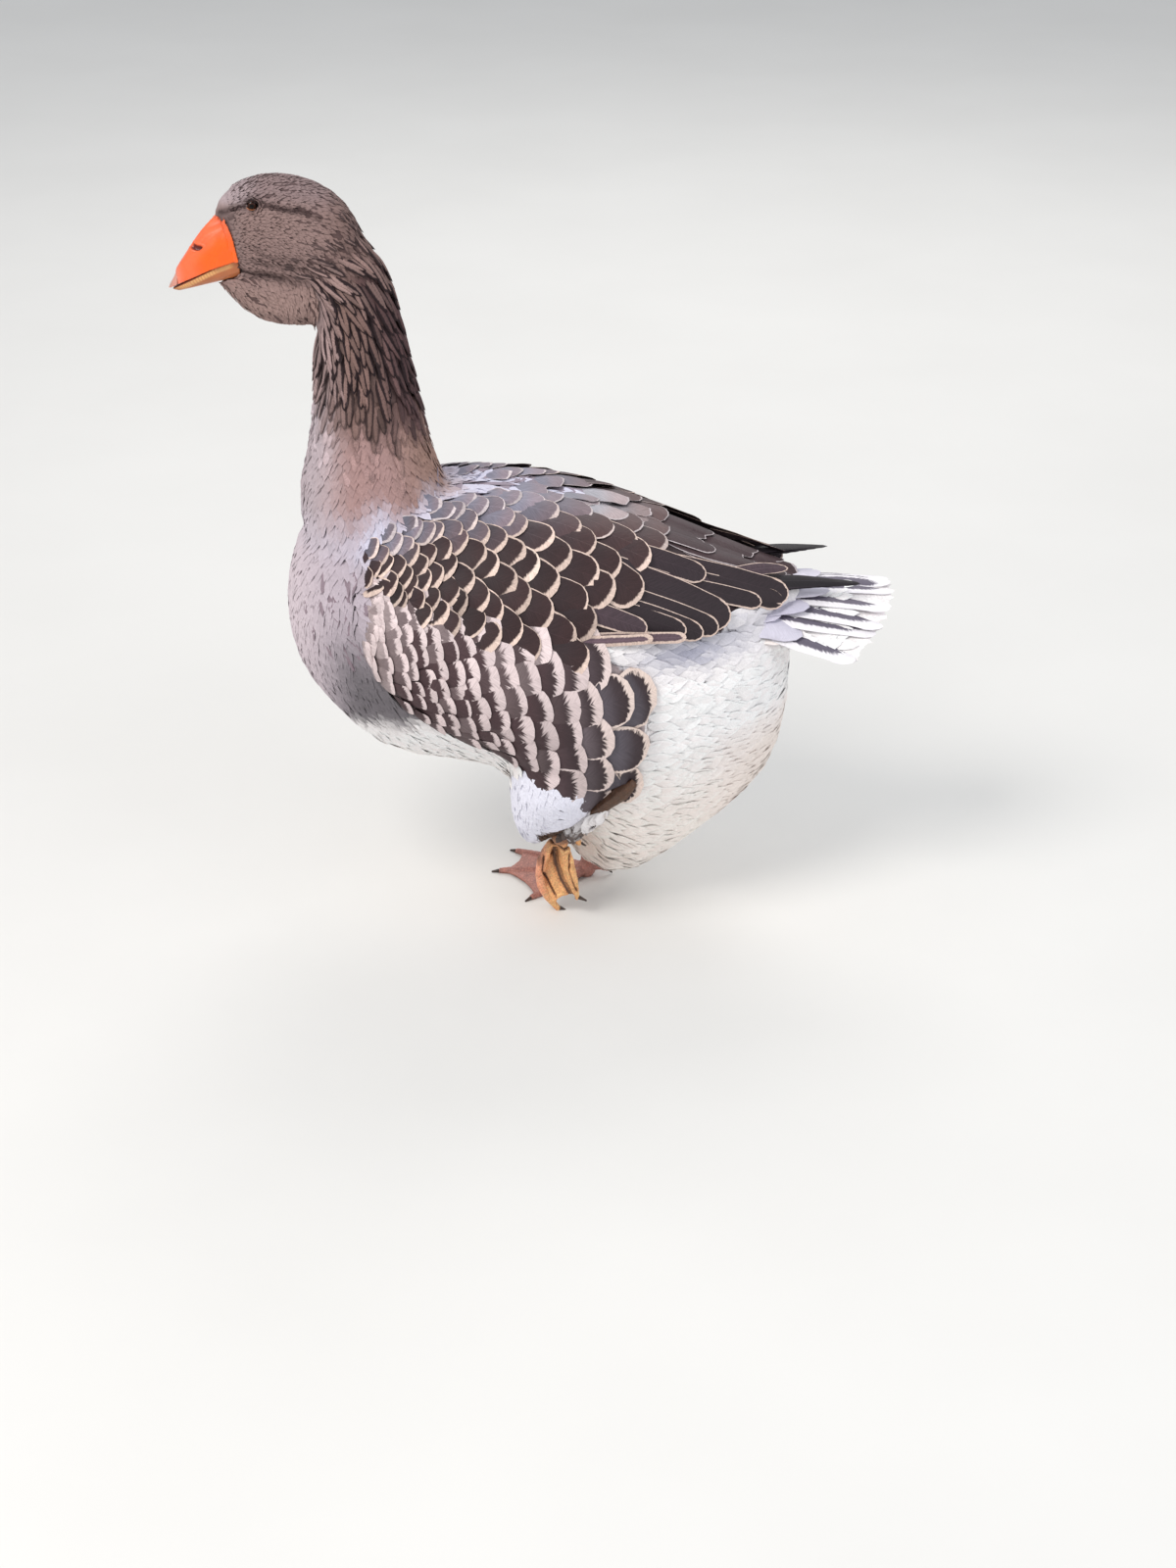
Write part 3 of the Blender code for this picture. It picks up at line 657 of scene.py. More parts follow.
def vane_group() -> Tree:
    """The slanting barbs of a vane, its shaft and its slightly ragged fringe.

    Returns:
        The group.
    """
    group = new_group("Vane", {"Vane": None, "Edge": 2.0, "Contrast": 0.2, "Shaft": 0.3,
                               "Ragged": 0.3}, ("Shade", "Height", "Fringe"))
    w = Wiring(group)
    given, made = group.nodes[0].outputs, group.nodes[1]
    along = w.put("SeparateXYZ", {0: given["Vane"]})
    place = w.put("SeparateXYZ", {0: w.seat()})
    side = w.math("ABSOLUTE", along[0])
    barb = w.math("SUBTRACT", along[1], w.math("MULTIPLY", side, 1.15))
    apart = w.math("MULTIPLY", place[0], 40.0)
    streak, tear = (
        w.noise(w.put("CombineXYZ", {0: w.math("MULTIPLY", barb, fine),
                                     1: w.math("MULTIPLY", along[0], across), 2: apart})[0], 1.0)
        for fine, across in ((900.0, 110.0), (380.0, 60.0)))
    rib = w.span(side, 0.0002, 0.0007, 1.0, 0.0)
    spread = w.math("MULTIPLY", w.span(streak, 0.3, 0.7, -1.0, 1.0), given["Contrast"])
    rough = w.math("MULTIPLY", w.math("SUBTRACT", tear, 0.5), given["Ragged"])
    w.fill(made, {
        "Shade": w.math("ADD", w.math("ADD", spread, 1.0), w.math("MULTIPLY", rib, given["Shaft"])),
        "Height": w.math("ADD", streak, w.math("MULTIPLY", rib, 0.8)),
        "Fringe": w.span(w.math("ADD", given["Edge"], rough), 0.75, 1.2, 1.0, 0.0)})
    return group


def grain_group() -> Tree:
    """Mottling at two sizes for skin, horn and scales.

    Returns:
        The group.
    """
    group = new_group("Grain", {"Coarse": 60.0, "Fine": 600.0, "Contrast": 0.2},
                      ("Shade", "Height"))
    w = Wiring(group)
    given, made = group.nodes[0].outputs, group.nodes[1]
    seat = w.seat()
    both = w.math("ADD", w.math("MULTIPLY", w.noise(seat, given["Coarse"]), 0.6),
                  w.math("MULTIPLY", w.noise(seat, given["Fine"]), 0.4))
    spread = w.math("MULTIPLY", w.span(both, 0.35, 0.65, -1.0, 1.0), given["Contrast"])
    w.fill(made, {"Shade": w.math("ADD", spread, 1.0), "Height": both})
    return group


def new_material(name: str) -> tuple[Material, Wiring, Node]:
    """A new material.

    Args:
        name: Its name.

    Returns:
        The material, its wiring and its Principled shader.
    """
    made = bpy.data.materials.new(name)
    made.use_nodes = True
    return made, Wiring(made.node_tree), made.node_tree.nodes["Principled BSDF"]


# --- finishes
@dataclass(frozen=True)
class VaneFinish:
    """Feathers: painted centre and fringe, with barbs and a shaft."""

    name: str
    roughness: float = 0.78
    contrast: float = 0.14
    shaft: float = 0.0
    ragged: float = 0.5
    relief: float = 0.0004

    def make(self, groups: dict[str, Tree]) -> Material:
        """The material.

        Args:
            groups: The shader groups by name.

        Returns:
            The new material.
        """
        made, w, shader = new_material(self.name)
        barbs = w.put("Group", {
            "Vane": w.put("UVMap", {}, uv_map="Vane")["UV"], "Contrast": self.contrast,
            "Shaft": self.shaft, "Edge": w.read("Edge", "Fac"), "Ragged": self.ragged,
        }, node_tree=groups["vane"])
        colour = w.put("Mix", {0: barbs["Fringe"], 6: w.read("Coat"), 7: w.read("Rim")},
                       data_type="RGBA")[2]
        w.dress(shader, colour, barbs, (0.6, self.relief),
                {"Roughness": self.roughness, "Specular IOR Level": 0.3})
        return made


@dataclass(frozen=True)
class GrainFinish:
    """Skin, horn or scale: painted by point colours, with mottling and fine relief."""

    name: str
    roughness: float
    coarse: float
    fine: float
    contrast: float
    relief: float
    coat: float = 0.0
    coat_roughness: float = 0.2
    subsurface: float = 0.0
    specular: float = 0.5

    def make(self, groups: dict[str, Tree]) -> Material:
        """The material.

        Args:
            groups: The shader groups by name.

        Returns:
            The new material.
        """
        made, w, shader = new_material(self.name)
        grain = w.put("Group", {"Coarse": self.coarse, "Fine": self.fine,
                                "Contrast": self.contrast}, node_tree=groups["grain"])
        rough = w.span(grain["Height"], 0.3, 0.7, self.roughness - 0.08, self.roughness + 0.08)
        w.dress(shader, w.read("Coat"), grain, (0.7, self.relief), {
            "Roughness": rough, "Coat Weight": self.coat, "Coat Roughness": self.coat_roughness,
            "Subsurface Weight": self.subsurface, "Subsurface Scale": 0.004,
            "Specular IOR Level": self.specular})
        return made


class Finishes:
    """All the goose's finishes, made once."""

    def __init__(self) -> None:
        """Makes the shader groups and every material."""
        groups = {"vane": vane_group(), "grain": grain_group()}
        for word, finish in {
            "down": GrainFinish("down_skin", 0.85, 45, 420, 0.16, 0.0012),
            "soft": VaneFinish("soft_feathers", 0.85, 0.06, 0.0, 0.6, 0.0002),
            "furrow": VaneFinish("furrow_feathers", 0.78, 0.18, 0.0, 0.6, 0.0004),
            "wing": VaneFinish("wing_feathers", 0.6, 0.15, 0.25, 0.7, 0.0003),
            "flank": VaneFinish("flank_feathers", 0.7, 0.12, 0.0, 1.6, 0.0003),
            "tail": VaneFinish("tail_feathers", 0.66, 0.05, 0.1, 0.9, 0.0003),
            "bill": GrainFinish("bill_horn", 0.4, 90, 900, 0.06, 0.0002, 0.12, subsurface=0.1),
            "scales": GrainFinish("scaly_skin", 0.52, 130, 1100, 0.16, 0.0004, subsurface=0.08),
            "claw": GrainFinish("claw_horn_dark", 0.4, 160, 1500, 0.25, 0.0003),
            "eye": GrainFinish("eye_gloss", 0.14, 500, 2500, 0.3, 0.00001, specular=0.22),
            "lid": GrainFinish("eyelid_skin", 0.48, 400, 1800, 0.18, 0.0003, subsurface=0.1),
        }.items():
            setattr(self, word, finish.make(groups))


# --- the body's form
@dataclass
class Spine:
    """The line through the goose from bill to tail, which leads the lie of the coat."""

    knots: Table = (
        (-0.3, 0.632), (-0.262, 0.641), (-0.222, 0.638), (-0.19, 0.618), (-0.172, 0.583),
        (-0.164, 0.543), (-0.16, 0.5), (-0.156, 0.45), (-0.15, 0.405), (-0.138, 0.362),
        (-0.108, 0.322), (-0.06, 0.296), (0.0, 0.282), (0.08, 0.275), (0.16, 0.283),
        (0.24, 0.3), (0.335, 0.308),
    )
    steps: int = 260
    curve: Array = field(init=False)
    reach: Array = field(init=False)
    ways: Array = field(init=False)

    def __post_init__(self) -> None:
        """Reads the curve, its length so far and its direction."""
        flat = spline(self.knots, self.steps)
        self.curve = np.stack((flat[:, 0], np.zeros(self.steps), flat[:, 1]), 1)
        gaps = np.linalg.norm(np.diff(self.curve, axis=0), axis=1)
        self.reach = np.concatenate(([0], np.cumsum(gaps)))
        self.ways = unit(np.gradient(self.curve, axis=0))

    def read(self, places: Array) -> tuple[Array, Array, Array]:
        """Where points lie along and round the spine.

        Args:
            places: Points in space.

        Returns:
            Length along the spine, turn round it (0 on the back, sign along Y) and its way.
        """
        near = np.concatenate([
            ((part[:, None] - self.curve[None]) ** 2).sum(2).argmin(1)
            for part in np.array_split(places, max(1, len(places) // 6000))
        ])
        way = self.ways[near]
        off = places - self.curve[near]
        along = self.reach[near] + (off * way).sum(1)
        dorsal = np.stack((-way[:, 2], np.zeros(len(way)), way[:, 0]), 1)
        return along, np.arctan2(off[:, 1], (off * dorsal).sum(1)), way

    def unwrap(self, places: Array) -> Array:
        """Places on the unwrapped skin, from 0 to 1 each way."""
        along, turn, _ = self.read(places)
        return np.stack((along / self.reach[-1], 0.5 + turn / (2 * math.pi)), 1) * 0.97 + 0.015


class Folds:
    """Creases and dark lines of the head, as x and z in side view."""

    BROW = np.array(((-0.29, 0.668), (-0.276, 0.6715), (-0.266, 0.676), (-0.2585, 0.6815),
                     (-0.25, 0.6825), (-0.243, 0.679), (-0.228, 0.6765), (-0.212, 0.676),
                     (-0.198, 0.67), (-0.186, 0.658)))
    JAW = np.array(((-0.274, 0.627), (-0.268, 0.618), (-0.258, 0.6145), (-0.247, 0.6145),
                    (-0.236, 0.6135), (-0.226, 0.609), (-0.216, 0.602), (-0.204, 0.59)))
    CHEEK = np.array(((-0.257, 0.642), (-0.25, 0.636), (-0.241, 0.6335), (-0.228, 0.632),
                      (-0.214, 0.634), (-0.198, 0.632)))
    LOW_CHEEK = np.array(((-0.259, 0.629), (-0.244, 0.625), (-0.226, 0.625), (-0.208, 0.623),
                          (-0.193, 0.614)))
    BILL_BORDER = ((-0.2905, 0.67), (-0.29, 0.6655), (-0.2795, 0.664), (-0.2765, 0.654),
                   (-0.2755, 0.64), (-0.2735, 0.627), (-0.274, 0.612), (-0.276, 0.606))


@dataclass
class Form:
    """The goose's outer form, fused from the frame's nodes of flesh, and the skin inside it."""

    flesh: tuple[str, ...] = (
        "trunk", "neck", "head", "dewlap", "wing_left", "wing_right", "flank_left",
        "flank_right", "tail", "thigh_left", "thigh_right",
    )
    voxel: float = 0.003
    overlap: float = 0.0004
    body_depth: float = 0.0024
    head_depth: float = 0.0014
    thin_share: float = 0.42
    spine: Spine = field(default_factory=Spine)
    quads: Array = field(init=False)
    outer: Surface = field(init=False)
    owners: Array = field(init=False)
    tree: BVHTree = field(init=False)

    def __post_init__(self) -> None:
        """Fuses the nodes and presses in the folds of the head."""
        points, faces, self.owners = merged(self.flesh, self.overlap)
        self.tree = BVHTree.FromPolygons(points.tolist(), faces.tolist())
        made, self.quads = fused(points, faces, self.voxel)
        made = smoothed(made, self.quads, 4)
        self.outer = Surface(made, two_triangles(self.quads))
        made = made - self.outer.normals * self.crease(made)[:, None]
        self.outer = Surface(made, two_triangles(self.quads))

    def crease(self, places: Array) -> Array:
        """How deep the head's folds are at each point.

        Args:
            places: Points on the form.

        Returns:
            Depths in metres.
        """
        head = ease(places[:, 2], 0.575, 0.6)
        depth = np.zeros(len(places))
        for line, deep, wide in ((Folds.JAW, 0.0026, 0.0034), (Folds.CHEEK, 0.0009, 0.0026),
                                 (Folds.LOW_CHEEK, 0.0012, 0.0026), (Folds.BROW, 0.0012, 0.003)):
            depth = np.maximum(depth, deep * stroke(places, line, wide, 0.06, 0.8))
        side = ease(np.abs(places[:, 1]), 0.004, 0.012)
        return depth * head * side

    def label(self, places: Array) -> Array:
        """The name of the node that each point belongs to."""
        found = [self.tree.find_nearest(p)[2] for p in places.tolist()]
        return np.array(self.flesh)[self.owners[np.array(found)]]

    def depth(self, places: Array) -> Array:
        """Depth of the coat at each point: thin on the head, thick on the body."""
        return self.head_depth + (self.body_depth - self.head_depth) * ease(
            places[:, 2], 0.6, 0.48)

    def roots(self, keep: Array, spacing: Array, seed: int) -> Pair:
        """Evenly spread feather roots on some of the form's points.

        Args:
            keep: True for the points that bear these feathers.
            spacing: Distance between neighbours at every point of the form.
            seed: Seed of their order.

        Returns:
            Roots, and the spacing at each one.
        """
        chance = np.random.default_rng(seed)
        faces = self.outer.faces[keep[self.outer.faces].all(1)]
        a, b, c = (self.outer.points[faces[:, k]] for k in range(3))
        area = np.linalg.norm(np.cross(b - a, c - a), axis=1) / 2
        near = spacing[faces].mean(1)
        number = np.floor(3.2 * area / near ** 2 + chance.random(len(area))).astype(int)
        which = np.repeat(np.arange(len(faces)), number)
        r1, r2 = np.sqrt(chance.random((len(which), 1))), chance.random((len(which), 1))
        spots = a[which] * (1 - r1) + b[which] * r1 * (1 - r2) + c[which] * r1 * r2
        chosen = spread_out(spots, 0.82 * near[which], chance)
        return spots[chosen], near[which][chosen]

    def make_skin(self, markings: Markings, finish: Material) -> Piece:
        """The one skin under all the feathers.

        Args:
            markings: Gives the colours of the coat.
            finish: The skin's material.

        Returns:
            The skin.
        """
        outer = self.outer
        start = outer.points - outer.normals * 0.0005
        across = [self.outer.tree.ray_cast(p, n, 0.1)[3] or 0.1
                  for p, n in zip(start.tolist(), (-outer.normals).tolist())]
        depth = np.minimum(self.depth(outer.points), self.thin_share * np.array(across))
        points = smoothed(outer.points - outer.normals * depth[:, None], self.quads, 2)
        colour = markings.colour(outer.points, self.label(outer.points))
        places = self.spine.unwrap(outer.points)[self.quads]
        low = places[:, :, 1].min(1, keepdims=True)
        wrapped = (places[:, :, 1] - low) > 0.5
        places[:, :, 1] = np.where(wrapped, low, places[:, :, 1])
        skin = mesh_object("skin", points, self.quads, finish, {"Coat": colour}, {},
                           {"OFBake": places.reshape(-1, 2)})
        return settle(skin, "plumage_white", *self.flesh)


# --- colours of the coat
@dataclass
class Markings:
    """The colours of the coat, which skin and feathers share."""

    spine: Spine

    def colour(self, places: Array, labels: Array) -> Array:
        """The coat's colour at points on the goose.

        Args:
            places: Points on the form.
            labels: The node that each belongs to.

        Returns:
            Linear colours.
        """
        x, y, z = places.T
        along, turn, _ = self.spine.read(places)
        wave = 0.004 * np.sin(x * 160) + 0.004 * np.sin(turn * 7)
        made = painted(
            self.body(places),
            (self.neck(places, turn), ease(along + wave, 0.352, 0.306)),
            (self.head(places), ease(z - 0.45 * (x + 0.2), 0.6, 0.618)))
        thigh, wing, flank = (np.char.startswith(labels, word)
                              for word in ("thigh", "wing", "flank"))
        ruffle = thigh * ease(z, 0.117, 0.109) * ease(x, -0.014, -0.006) * ease(y, -0.02, -0.03)
        wing = wing & (x > -0.155) & ((x < 0.166) | (z > 0.316))
        dewlap = blend(Dye.DEWLAP, Dye.CHEEK, ease(z, 0.59, 0.62))
        covert = blend(Dye.COVERT, Dye.SCAPULAR, ease(z, 0.37, 0.4))
        barred = blend(Dye.FLANK_PALE, Dye.FLANK_BAR, 0.5)
        return painted(made, (dewlap, labels == "dewlap"), (Dye.THIGH, thigh),
                       (Dye.RUFFLE, ruffle), (covert, wing), (barred, flank & (x > -0.155)))

    def dashes(self, places: Array, labels: Array) -> Pair:
        """Short dark strokes in the coat.

        Args:
            places: Feather roots.
            labels: The node that each is on.

        Returns:
            How likely a feather at each root is dark, and the dark colour there.
        """
        x, y, z = places.T
        head = np.maximum(0.16 * ease(z, 0.68, 0.69), 0.15 * ease(x, -0.228, -0.205))
        head = np.maximum(head, 0.012) * ease(z, 0.58, 0.6)
        head = np.where(labels == "dewlap", 0.05 + 0.06 * ease(x, -0.24, -0.21), head)
        mantle = 0.34 * ease(z, 0.36, 0.385) * ease(x, -0.17, -0.14) * (labels == "trunk")
        reach = np.hypot(x + 0.162, z - 0.368)
        fan = 0.14 * ease(reach, 0.09, 0.01) * (labels != "neck") * (np.abs(y) > 0.05)
        ink = blend(Dye.BROW * 1.3, Dye.MANTLE_STREAK, ease(z, 0.5, 0.45))
        return np.maximum(head, np.maximum(mantle, fan)), ink

    def body(self, places: Array) -> Array:
        """Breast, back, belly, thighs and rump.

        Args:
            places: Points on the form.

        Returns:
            Linear colours.
        """
        x, y, z = places.T
        # the lower breast in front of the flank is darkened with painted shade
        breast = painted(
            Dye.BREAST_SIDE, (Dye.BREAST, ease(x, -0.175, -0.24)),
            (Dye.LOW_BREAST, 0.85 * ease(z, 0.35, 0.27) * ease(x, -0.22, -0.172)))
        edge = 0.232 + 0.25 * np.clip(x + 0.12, -0.1, 0.2) + 0.004 * np.sin(x * 210 + y * 90)
        mantle = ease(z, 0.37, 0.395) * ease(x, 0.06, 0.0) * (0.25 + 0.75 * ease(x, -0.19, -0.14))
        # blue-grey patch under the wing's rear edge, partly the feathers' own grey and partly painted
        # shade
        patch = np.exp(-((x - 0.115) / 0.045) ** 2 - ((z - 0.291) / 0.016) ** 2)
        patch = patch + 0.4 * np.exp(-((x - 0.18) / 0.035) ** 2 - ((z - 0.3) / 0.018) ** 2)
        return painted(
            Dye.WHITE, (Dye.BELLY, ease(z, 0.22, 0.1)),
            (Dye.RUMP, ease(x, 0.12, 0.2) * ease(z, 0.22, 0.16) * 0.8),
            (breast, ease(z, edge - 0.014, edge + 0.016) * ease(x, 0.03, -0.03)),
            (Dye.MANTLE, mantle), (Dye.BLUE_GREY, np.clip(patch * 0.9, 0, 1)))

    def neck(self, places: Array, turn: Array) -> Array:
        """The neck: dark behind, paler in front, pale below the furrows.

        Args:
            places: Points on the form.
            turn: Their turn round the spine.

        Returns:
            Linear colours.
        """
        back = 0.5 + 0.5 * np.cos(turn)
        upper = painted(Dye.NECK_FRONT, (Dye.NECK_SIDE, ease(back, 0.05, 0.45)),
                        (Dye.NECK_BACK, ease(back, 0.55, 0.95)))
        lower = painted(Dye.COLLAR_FRONT, (Dye.COLLAR_SIDE, ease(back, 0.08, 0.42)),
                        (Dye.COLLAR_BACK, ease(back, 0.6, 1.0)))
        rise = places[:, 2] + 0.006 * np.sin(turn * 9) - 0.026 * ease(back, 0.16, 0.02)
        rise = rise + 0.004 * ease(back, 0.5, 1.0)
        return blend(lower, upper, ease(rise, 0.47, 0.512))

    def head(self, places: Array) -> Array:
        """Crown, lores, cheeks and the dark lines that cross them.

        Args:
            places: Points on the form.

        Returns:
            Linear colours.
        """
        x, _, z = places.T
        made = painted(
            Dye.CHEEK, (Dye.CROWN, ease(z, 0.672, 0.692)),
            (Dye.FOREHEAD, ease(x, -0.245, -0.272) * ease(z, 0.67, 0.682)),
            (Dye.LORE, ease(x, -0.262, -0.276) * 0.7 * ease(z, 0.68, 0.67)),
            (Dye.NECK_SIDE, ease(x, -0.205, -0.175) * 0.6))
        side = ease(np.abs(places[:, 1]), 0.003, 0.01)
        # the brow line is the dark brow streak; along the jaw and cheek creases the dark is painted
        # shade
        for line, strength, wide in ((Folds.BROW, 1.0, 0.0027), (Folds.JAW, 0.85, 0.0026),
                                     (Folds.CHEEK, 0.38, 0.0022), (Folds.LOW_CHEEK, 0.42, 0.0022)):
            made = blend(made, Dye.BROW, strength * side * stroke(places, line, wide, 0.06, 0.75))
        border = ease(x, -0.2715, -0.2755) * ease(z, 0.625, 0.635) * ease(z, 0.672, 0.664)
        return blend(made, Dye.BROW, 0.7 * border * side)


# --- feathers
@dataclass(frozen=True)
class Cut:
    """The cut of a kind of feather: its grid and outline."""

    rows: int
    columns: int
    roundness: float = 0.9  # depth of the rounded tip beside the half width
    waist: float = 0.45  # width at the root beside the widest
    belly: float = 0.5  # share of the length where it is widest
    taper: float = 0.15  # width lost again by the tip
    camber: float = 0.18  # rise of the middle beside the half width
    thickness: float = 0.0005
    keel: float = 0.0  # 0 for an arched vane, 1 for one folded along its shaft


@dataclass
class Plume:
    """A batch of feathers of one cut, all as arrays with one row each."""

    root: Array
    ahead: Array
    length: Array
    half: Array
    coat: Array
    rim: Array
    place: Array  # where each root lies on the unwrapped skin
    patch: Array | float = 0.003  # size of each feather's own spot there
    sink: Array | float = 0.003  # how deep the root lies under the form
    lift: Array | float = 0.0008  # how high the tip stands over it
    curl: Array | float = 0.0  # extra rise at the very tip
    roll: Array | float = 0.0  # rise of the +side edge beside the half width
    bend: Array | float = 0.0  # sideways curve beside the length
    crown: Array | float = 1.0  # how much of the cut's camber it has
    blunt: Array | float = 1.0  # how much of the cut's roundness it has
    tip_rim: Array | float = 0.0  # width of the fringe at the tip
    side_rim: Array | float = 0.0  # and along the sides
    skew: Array | float = 0.0  # how much wider the fringe is on the +side
    tip_coat: Array | None = None  # colour of the middle towards the tip
    centres: Array | None = None  # ready centre lines, one point for each row of the grid
    normals: Array | None = None

    def grid(self, cut: Cut) -> Pair:
        """Shares along and across the vane for a cut."""
        u = np.sin(np.linspace(-math.pi / 2, math.pi / 2, cut.columns + 1))
        return np.meshgrid(np.linspace(0, 1, cut.rows + 1), u, indexing="ij")

    def each(self, value: Array | float) -> Array:
        """A value for every feather, ready to meet the grid."""
        return np.broadcast_to(np.asarray(value, float), (len(self.length),))[:, None, None]

    def line(self, cut: Cut, surface: Surface) -> Pair:
        """Centre lines walked over the surface from each root.

        Args:
            cut: The feathers' cut.
            surface: What they lie on.

        Returns:
            Points and normals, one for each feather and row.
        """
        if self.centres is not None:
            return self.centres, self.normals
        spot, normal = surface.nearest(self.root)
        way = unit(self.ahead - dot(self.ahead, normal) * normal)
        spots, normals = [spot], [normal]
        step = (self.length / cut.rows)[:, None]
        for _ in range(cut.rows):
            spot, normal = surface.nearest(spot + way * step)
            way = unit(way - dot(way, normal) * normal)
            spots.append(spot)
            normals.append(normal)
        return np.stack(spots, 1), np.stack(normals, 1)

    def shape(self, cut: Cut, surface: Surface | None) -> Pair:
        """Points of every vane's upper side.

        Args:
            cut: The feathers' cut.
            surface: What they lie on, or None where they hang free.

        Returns:
            Points and normals, one for each feather, row and column.
        """
        v, u = self.grid(cut)
        centres, normals = self.line(cut, surface)
        ways = unit(np.gradient(centres, axis=1))
        sides = unit(np.cross(normals, ways))
        length, half = self.length[:, None, None], self.half[:, None, None]
        width = cut.waist + (1 - cut.waist) * np.sin(math.pi / 2 * np.minimum(v / cut.belly, 1))
        width = width * (1 - cut.taper * ease(v, 0.55, 1.0))
        arc = 1 - np.sqrt(1 - (0.985 * u) ** 2)
        back = -cut.roundness * self.each(self.blunt) * half * arc * v ** 3
        across = half * u * width + self.each(self.bend) * length * v ** 2
        flat = (centres[:, :, None] + ways[:, :, None] * back[..., None]
                + sides[:, :, None] * across[..., None])
        if surface is not None:
            spots, spot_normals = surface.nearest(flat.reshape(-1, 3))
            flat, normals = spots.reshape(flat.shape), spot_normals.reshape(flat.shape)
        else:
            normals = np.broadcast_to(normals[:, :, None], flat.shape)
        arch = (1 - u ** 2) * (1 - cut.keel) + (1 - np.abs(u)) * cut.keel
        height = (self.each(self.lift) * ease(v, 0.2, 1.0) + self.each(self.curl) * v ** 4
                  - self.each(self.sink) * (1 - ease(v, 0.0, 0.75)))
        arched = cut.camber * self.each(self.crown) * arch + self.each(self.roll) * u
        height = height + arched * half * ease(v, 0.0, 0.4)
        return flat + normals * height[..., None], normals

    def faces(self, cut: Cut) -> tuple[Array, int, Array]:
        """Faces of one closed vane.

        Args:
            cut: The feathers' cut.

        Returns:
            Faces, the number of points of one vane and which grid points its underside has.
        """
        rows, columns = cut.rows + 1, cut.columns + 1
        top = np.arange(rows * columns).reshape(rows, columns)
        inner = np.zeros((rows, columns), bool)
        inner[1:-1, 1:-1] = True
        low = top.copy()
        low[inner] = rows * columns + np.arange(inner.sum())
        upper = np.stack((top[:-1, :-1], top[:-1, 1:], top[1:, 1:], top[1:, :-1]), -1)
        lower = np.stack((low[:-1, :-1], low[1:, :-1], low[1:, 1:], low[:-1, 1:]), -1)
        made = np.concatenate((upper.reshape(-1, 4)[:, ::-1], lower.reshape(-1, 4)[:, ::-1]))
        return made, rows * columns + int(inner.sum()), inner

    def edge(self, cut: Cut) -> Array:
        """How near the grid's points are to the fringe.

        Args:
            cut: The feathers' cut.

        Returns:
            Distance to the fringe's inner border beside its width.
        """
        v, u = self.grid(cut)
        wide = np.clip(1 + self.each(self.skew) * u, 0.06, None)
        tip, side = self.each(self.tip_rim) * wide, self.each(self.side_rim) * wide
        far = 1e3
        return np.minimum(
            np.where(tip > 0, (1 - v) * self.length[:, None, None] / np.maximum(tip, 1e-6), far),
            np.where(side > 0, (1 - np.abs(u)) * self.half[:, None, None]
                     / np.maximum(side, 1e-6), far),
        )

    def build(self, name: str, cut: Cut, surface: Surface | None, finish: Material,
              slot: str, *nodes: str) -> None:
        """Makes all the feathers as one piece.

        Args:
            name: The piece's name.
            cut: The feathers' cut.
            surface: What they lie on, or None where they hang free.
            finish: Their material.
            slot: A material slot name, passed on to settle.
            nodes: Frame nodes that they stand for.
        """
        v, u = self.grid(cut)
        points, normals = self.shape(cut, surface)
        count = len(points)
        one, size, inner = self.faces(cut)
        web = cut.thickness * np.sqrt(np.clip(1 - u ** 2, 0, 1))[inner]
        under = points[:, inner] - normals[:, inner] * web[None, :, None]
        full = np.concatenate((points.reshape(count, -1, 3), under), 1)

        def spread(values: Array) -> Array:
            """Values of the upper grid and then the underside's, one row for each point."""
            flat = values.reshape(count, -1, *values.shape[3:])
            return np.concatenate((flat, values[:, inner]), 1).reshape(count * size, -1)

        tip_coat = self.coat if self.tip_coat is None else self.tip_coat
        whole = np.ones((count, *v.shape))
        coat = blend(self.coat[:, None, None], tip_coat[:, None, None],
                     ease(v, 0.45, 0.85) * whole)
        rim = self.rim[:, None, None] * whole[..., None]
        vane = np.stack((self.each(self.half) * u, self.each(self.length) * v), -1)
        bake = self.place[:, None, None] + self.each(self.patch)[..., None] * np.stack(
            (u * 0.5, v - 0.5), -1)
        faces = (one[None] + np.arange(count)[:, None, None] * size).reshape(-1, 4)
        settle(mesh_object(
            name, full.reshape(-1, 3), faces, finish,
            {"Coat": spread(coat), "Rim": spread(rim)}, {"Edge": spread(self.edge(cut))},
            {"OFBake": spread(bake), "Vane": spread(vane)},
        ), slot, *nodes)


